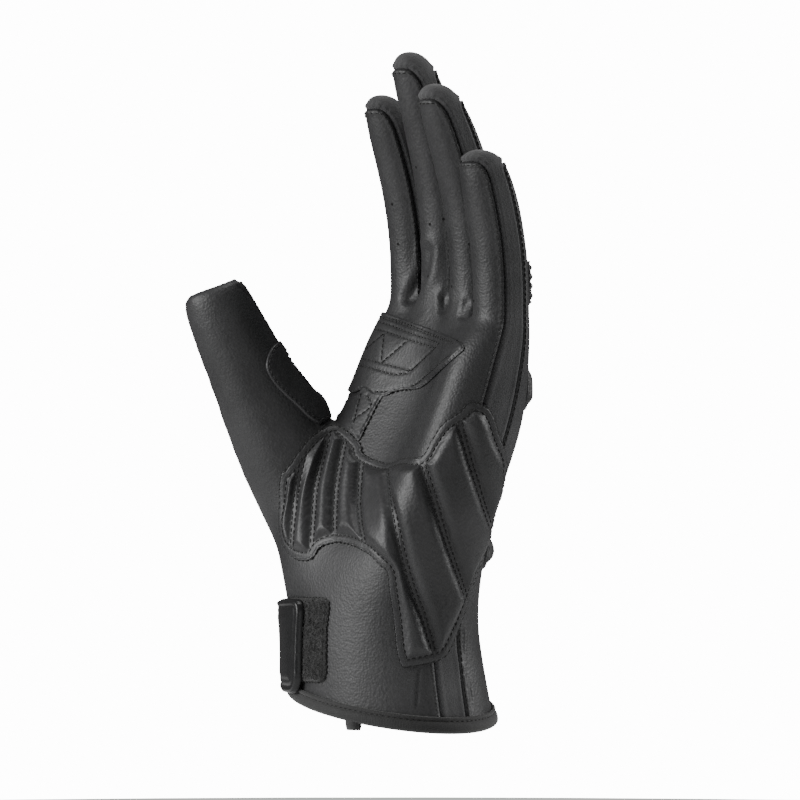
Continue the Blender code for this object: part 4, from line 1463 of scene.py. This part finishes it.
class GLOVE_OT_binding(Operator):
    """Fold the tape over the cuff's rim, sew it down and add the pull tab"""
    bl_idname = "glove.binding"
    bl_label = "Cuff binding"

    def execute(self, context):
        hand = glove_hand()
        follow = {}
        for a, b in hand.rim_edges.tolist():
            follow.setdefault(a, []).append(b)
            follow.setdefault(b, []).append(a)
        chain = [min(follow)]
        while True:
            ahead = [v for v in follow[chain[-1]] if len(chain) < 2 or v != chain[-2]]
            if ahead[0] == chain[0]:
                break
            chain.append(ahead[0])
        rim = closed_curve(hand.points[chain], 0.8 * MM)
        feet, out = hand.form.nearest(rim)
        along = unit(np.roll(feet, -1, axis=0) - np.roll(feet, 1, axis=0))
        up = np.cross(out, along)
        up *= np.sign(up[:, 2:])
        wall = context.scene.glove_sizes.wall
        outside, inside_face, tape = 0.3, -wall - 0.3, 1.0
        mid, half = (outside + inside_face) / 2, (outside - inside_face) / 2
        outer = [(outside + 0.25, 4.6), (outside + 0.75, 4.4), (outside + 1.0, 3.9), (outside + 0.85, 3.4),
                 (outside + 0.30, 3.05), (outside + 0.75, 2.6), (outside + 1.15, 1.8), (outside + 1.25, 1.0)]
        turn = [(mid + (half + 1.2) * math.cos(math.pi * k / 8), 0.2 - 1.5 * math.sin(math.pi * k / 8))
                for k in range(9)]
        inner = [(inside_face - tape, 2.0), (inside_face - tape, 4.1), (inside_face - tape * 0.75, 4.6)]
        back = [(inside_face, 4.5), (inside_face, 0.1), (outside, 0.1), (outside, 4.5)]
        profile = np.array(outer + turn + inner + back) * MM
        wave = np.array([noise.noise(Vector(p) * 90.0) for p in feet.tolist()])[:, None]
        rings = []
        for side, rise in profile:
            rings.append(feet + out * (side + 0.12 * MM * wave * (side > 0)) + up * rise)
        points = np.stack(rings, axis=1)
        count, each = points.shape[:2]
        i, j = np.meshgrid(np.arange(count), np.arange(each), indexing="ij")
        a = (i * each + j).ravel()
        b = (i * each + (j + 1) % each).ravel()
        c = ((i + 1) % count * each + (j + 1) % each).ravel()
        d = ((i + 1) % count * each + j).ravel()
        faces = np.stack((a, b, c, d), axis=1)
        corners = points.reshape(-1, 3)[faces]
        facing = np.cross(corners[:, 1] - corners[:, 0], corners[:, 2] - corners[:, 0])
        if (facing[::each] * out[faces[::each, 0] // each]).sum() < 0:
            faces = faces[:, ::-1]
        add_piece("cuff_binding_tape", points.reshape(-1, 3), faces, "binding_tape",
                  ("cuff_binding",))
        tape_skin = Surface(points.reshape(-1, 3), split_quads(faces))
        row = feet + out * (outside + 0.4) * MM + up * 3.05 * MM
        sew("cuff_stitches", tape_skin, [np.concatenate((row, row[:1]))])

        facing = out @ FRONT.away < 0
        beside = np.abs(feet @ FRONT.right - TAB_ACROSS * SQUARE) + 1.0 * ~facing
        middle, normal = feet[beside.argmin()], out[beside.argmin()]
        across = unit(np.cross(np.array([0, 0, 1.0]), normal))
        rings = []
        for k in range(15):
            t = k / 14
            angle = math.pi * t
            drop = 3.2 * math.sin(angle) * MM
            swing = 1.1 * math.cos(angle) * MM
            centre = middle - normal * (0.6 * MM - swing) - np.array([0, 0, 1.0]) * (drop + 0.6 * MM)
            thick = normal * math.cos(angle) - np.array([0, 0, 1.0]) * math.sin(angle)
            ring = []
            for x, y in ((-2.6, -0.35), (2.6, -0.35), (2.6, 0.35), (-2.6, 0.35)):
                ring.append(centre + across * x * MM + thick * y * MM)
            rings.append(ring)
        points = np.array(rings)
        faces = []
        for k in range(14):
            for j in range(4):
                a, b = 4 * k + j, 4 * k + (j + 1) % 4
                faces.append((a, b, b + 4, a + 4))
        faces += [(3, 2, 1, 0), (56, 57, 58, 59)]
        add_piece("pull_tab", points.reshape(-1, 3), faces, "binding_tape")
        return {"FINISHED"}


class GLOVE_OT_vents(Operator):
    """Lay the vent holes in the fingers as discs of near-black painted shade, not cut through"""
    bl_idname = "glove.vents"
    bl_label = "Vent holes"

    def execute(self, context):
        skin = glove_skin()
        points, _ = FRONT.lay(skin, on_squares(VENTS))
        add_holes("finger_vents", skin, points, 0.4)
        return {"FINISHED"}


class GLOVE_OT_stage(Operator):
    """Set the floor, the light and the camera"""
    bl_idname = "glove.stage"
    bl_label = "Stage"

    def execute(self, context):
        stage = context.scene.glove_stage
        target = seen(AIM_ACROSS * MM, AIM_UP * MM)
        camera = bpy.data.objects.new("camera", bpy.data.cameras.new("camera"))
        camera.data.sensor_width = 36
        camera.data.lens = stage.lens
        camera.data.clip_end = 50
        camera.location = target - seen(0, 0, 1) * stage.distance
        camera.rotation_euler = (math.radians(90), 0, VIEW_TURN)
        context.scene.collection.objects.link(camera)
        context.scene.camera = camera

        floor = bpy.data.meshes.new("floor")
        turns = np.linspace(0, 2 * math.pi, FLOOR_SIDES + 1)[:-1]
        ring = [(FLOOR_RADIUS * math.cos(a), FLOOR_RADIUS * math.sin(a), stage.floor) for a in turns]
        floor.from_pydata(ring, [], [list(range(FLOOR_SIDES))])
        floor = bpy.data.objects.new("floor", floor)
        paper, _, _, _ = new_material("Paper_backdrop", {"Base Color": linear("#f2f2f2"), "Roughness": 0.9})
        floor.data.materials.append(paper)
        context.scene.collection.objects.link(floor)

        world = bpy.data.worlds.new("studio")
        world.use_nodes = True
        tree = world.node_tree
        tree.nodes.clear()
        shown = node(tree, "ShaderNodeBackground", {"Color": linear("#ffffff"), "Strength": 14.0})
        glow = node(tree, "ShaderNodeBackground", {"Color": linear("#ffffff"), "Strength": stage.glow})
        path = node(tree, "ShaderNodeLightPath")
        both = node(tree, "ShaderNodeMixShader", (),
                    {0: (path, "Is Camera Ray"), 1: (glow, "Background"), 2: (shown, "Background")})
        node(tree, "ShaderNodeOutputWorld", (), {"Surface": (both, "Shader")})
        context.scene.world = world
        for name, across, up, away, size, power in (
            ("left", -1.1, 0.55, -0.35, 0.8, stage.left),
            ("right", 1.1, 0.50, 0.15, 0.6, stage.right),
            ("top", 0.1, 1.3, 0.1, 0.6, stage.top),
            ("front", 0.3, 0.3, -1.5, 0.8, stage.front),
        ):
            lamp = bpy.data.lights.new(name, "AREA")
            lamp.shape = "DISK"
            lamp.size = size
            lamp.energy = power
            holder = bpy.data.objects.new(name, lamp)
            holder.location = seen(across, up, away)
            aim = seen(0, 110 * MM) - holder.location
            holder.rotation_euler = aim.to_track_quat("-Z", "Y").to_euler()
            context.scene.collection.objects.link(holder)
        return {"FINISHED"}


class GLOVE_PT_panel(Panel):
    """Lists the glove's sizes, finishes and operators"""
    bl_label = "Motorcycle glove"
    bl_idname = "GLOVE_PT_panel"
    bl_space_type = "VIEW_3D"
    bl_region_type = "UI"
    bl_category = "Glove"

    def draw(self, context):
        for group in GROUPS:
            settings = getattr(context.scene, group)
            for name in type(settings).__annotations__:
                self.layout.prop(settings, name)
        for operator in OPERATORS:
            self.layout.operator(operator.bl_idname)


GROUPS = {"glove_sizes": GloveSizes, "glove_finishes": GloveFinishes, "glove_stage": GloveStage}
OPERATORS = (
    GLOVE_OT_hand, GLOVE_OT_seams, GLOVE_OT_palm_pad, GLOVE_OT_patches, GLOVE_OT_back_pads, GLOVE_OT_flex,
    GLOVE_OT_loop_patch, GLOVE_OT_strap, GLOVE_OT_binding, GLOVE_OT_vents, GLOVE_OT_stage,
)


def register():
    """Add the classes and settings."""
    for made in (*GROUPS.values(), *OPERATORS, GLOVE_PT_panel):
        bpy.utils.register_class(made)
    for name, group in GROUPS.items():
        setattr(bpy.types.Scene, name, PointerProperty(type=group))


def unregister():
    """Take them away again."""
    for name in GROUPS:
        delattr(bpy.types.Scene, name)
    for made in (GLOVE_PT_panel, *reversed(OPERATORS), *reversed(GROUPS.values())):
        bpy.utils.unregister_class(made)


def main():
    """Make every piece in order."""
    register()
    for operator in OPERATORS:
        group, name = operator.bl_idname.split(".")
        getattr(getattr(bpy.ops, group), name)()


if __name__ == "__main__":
    main()
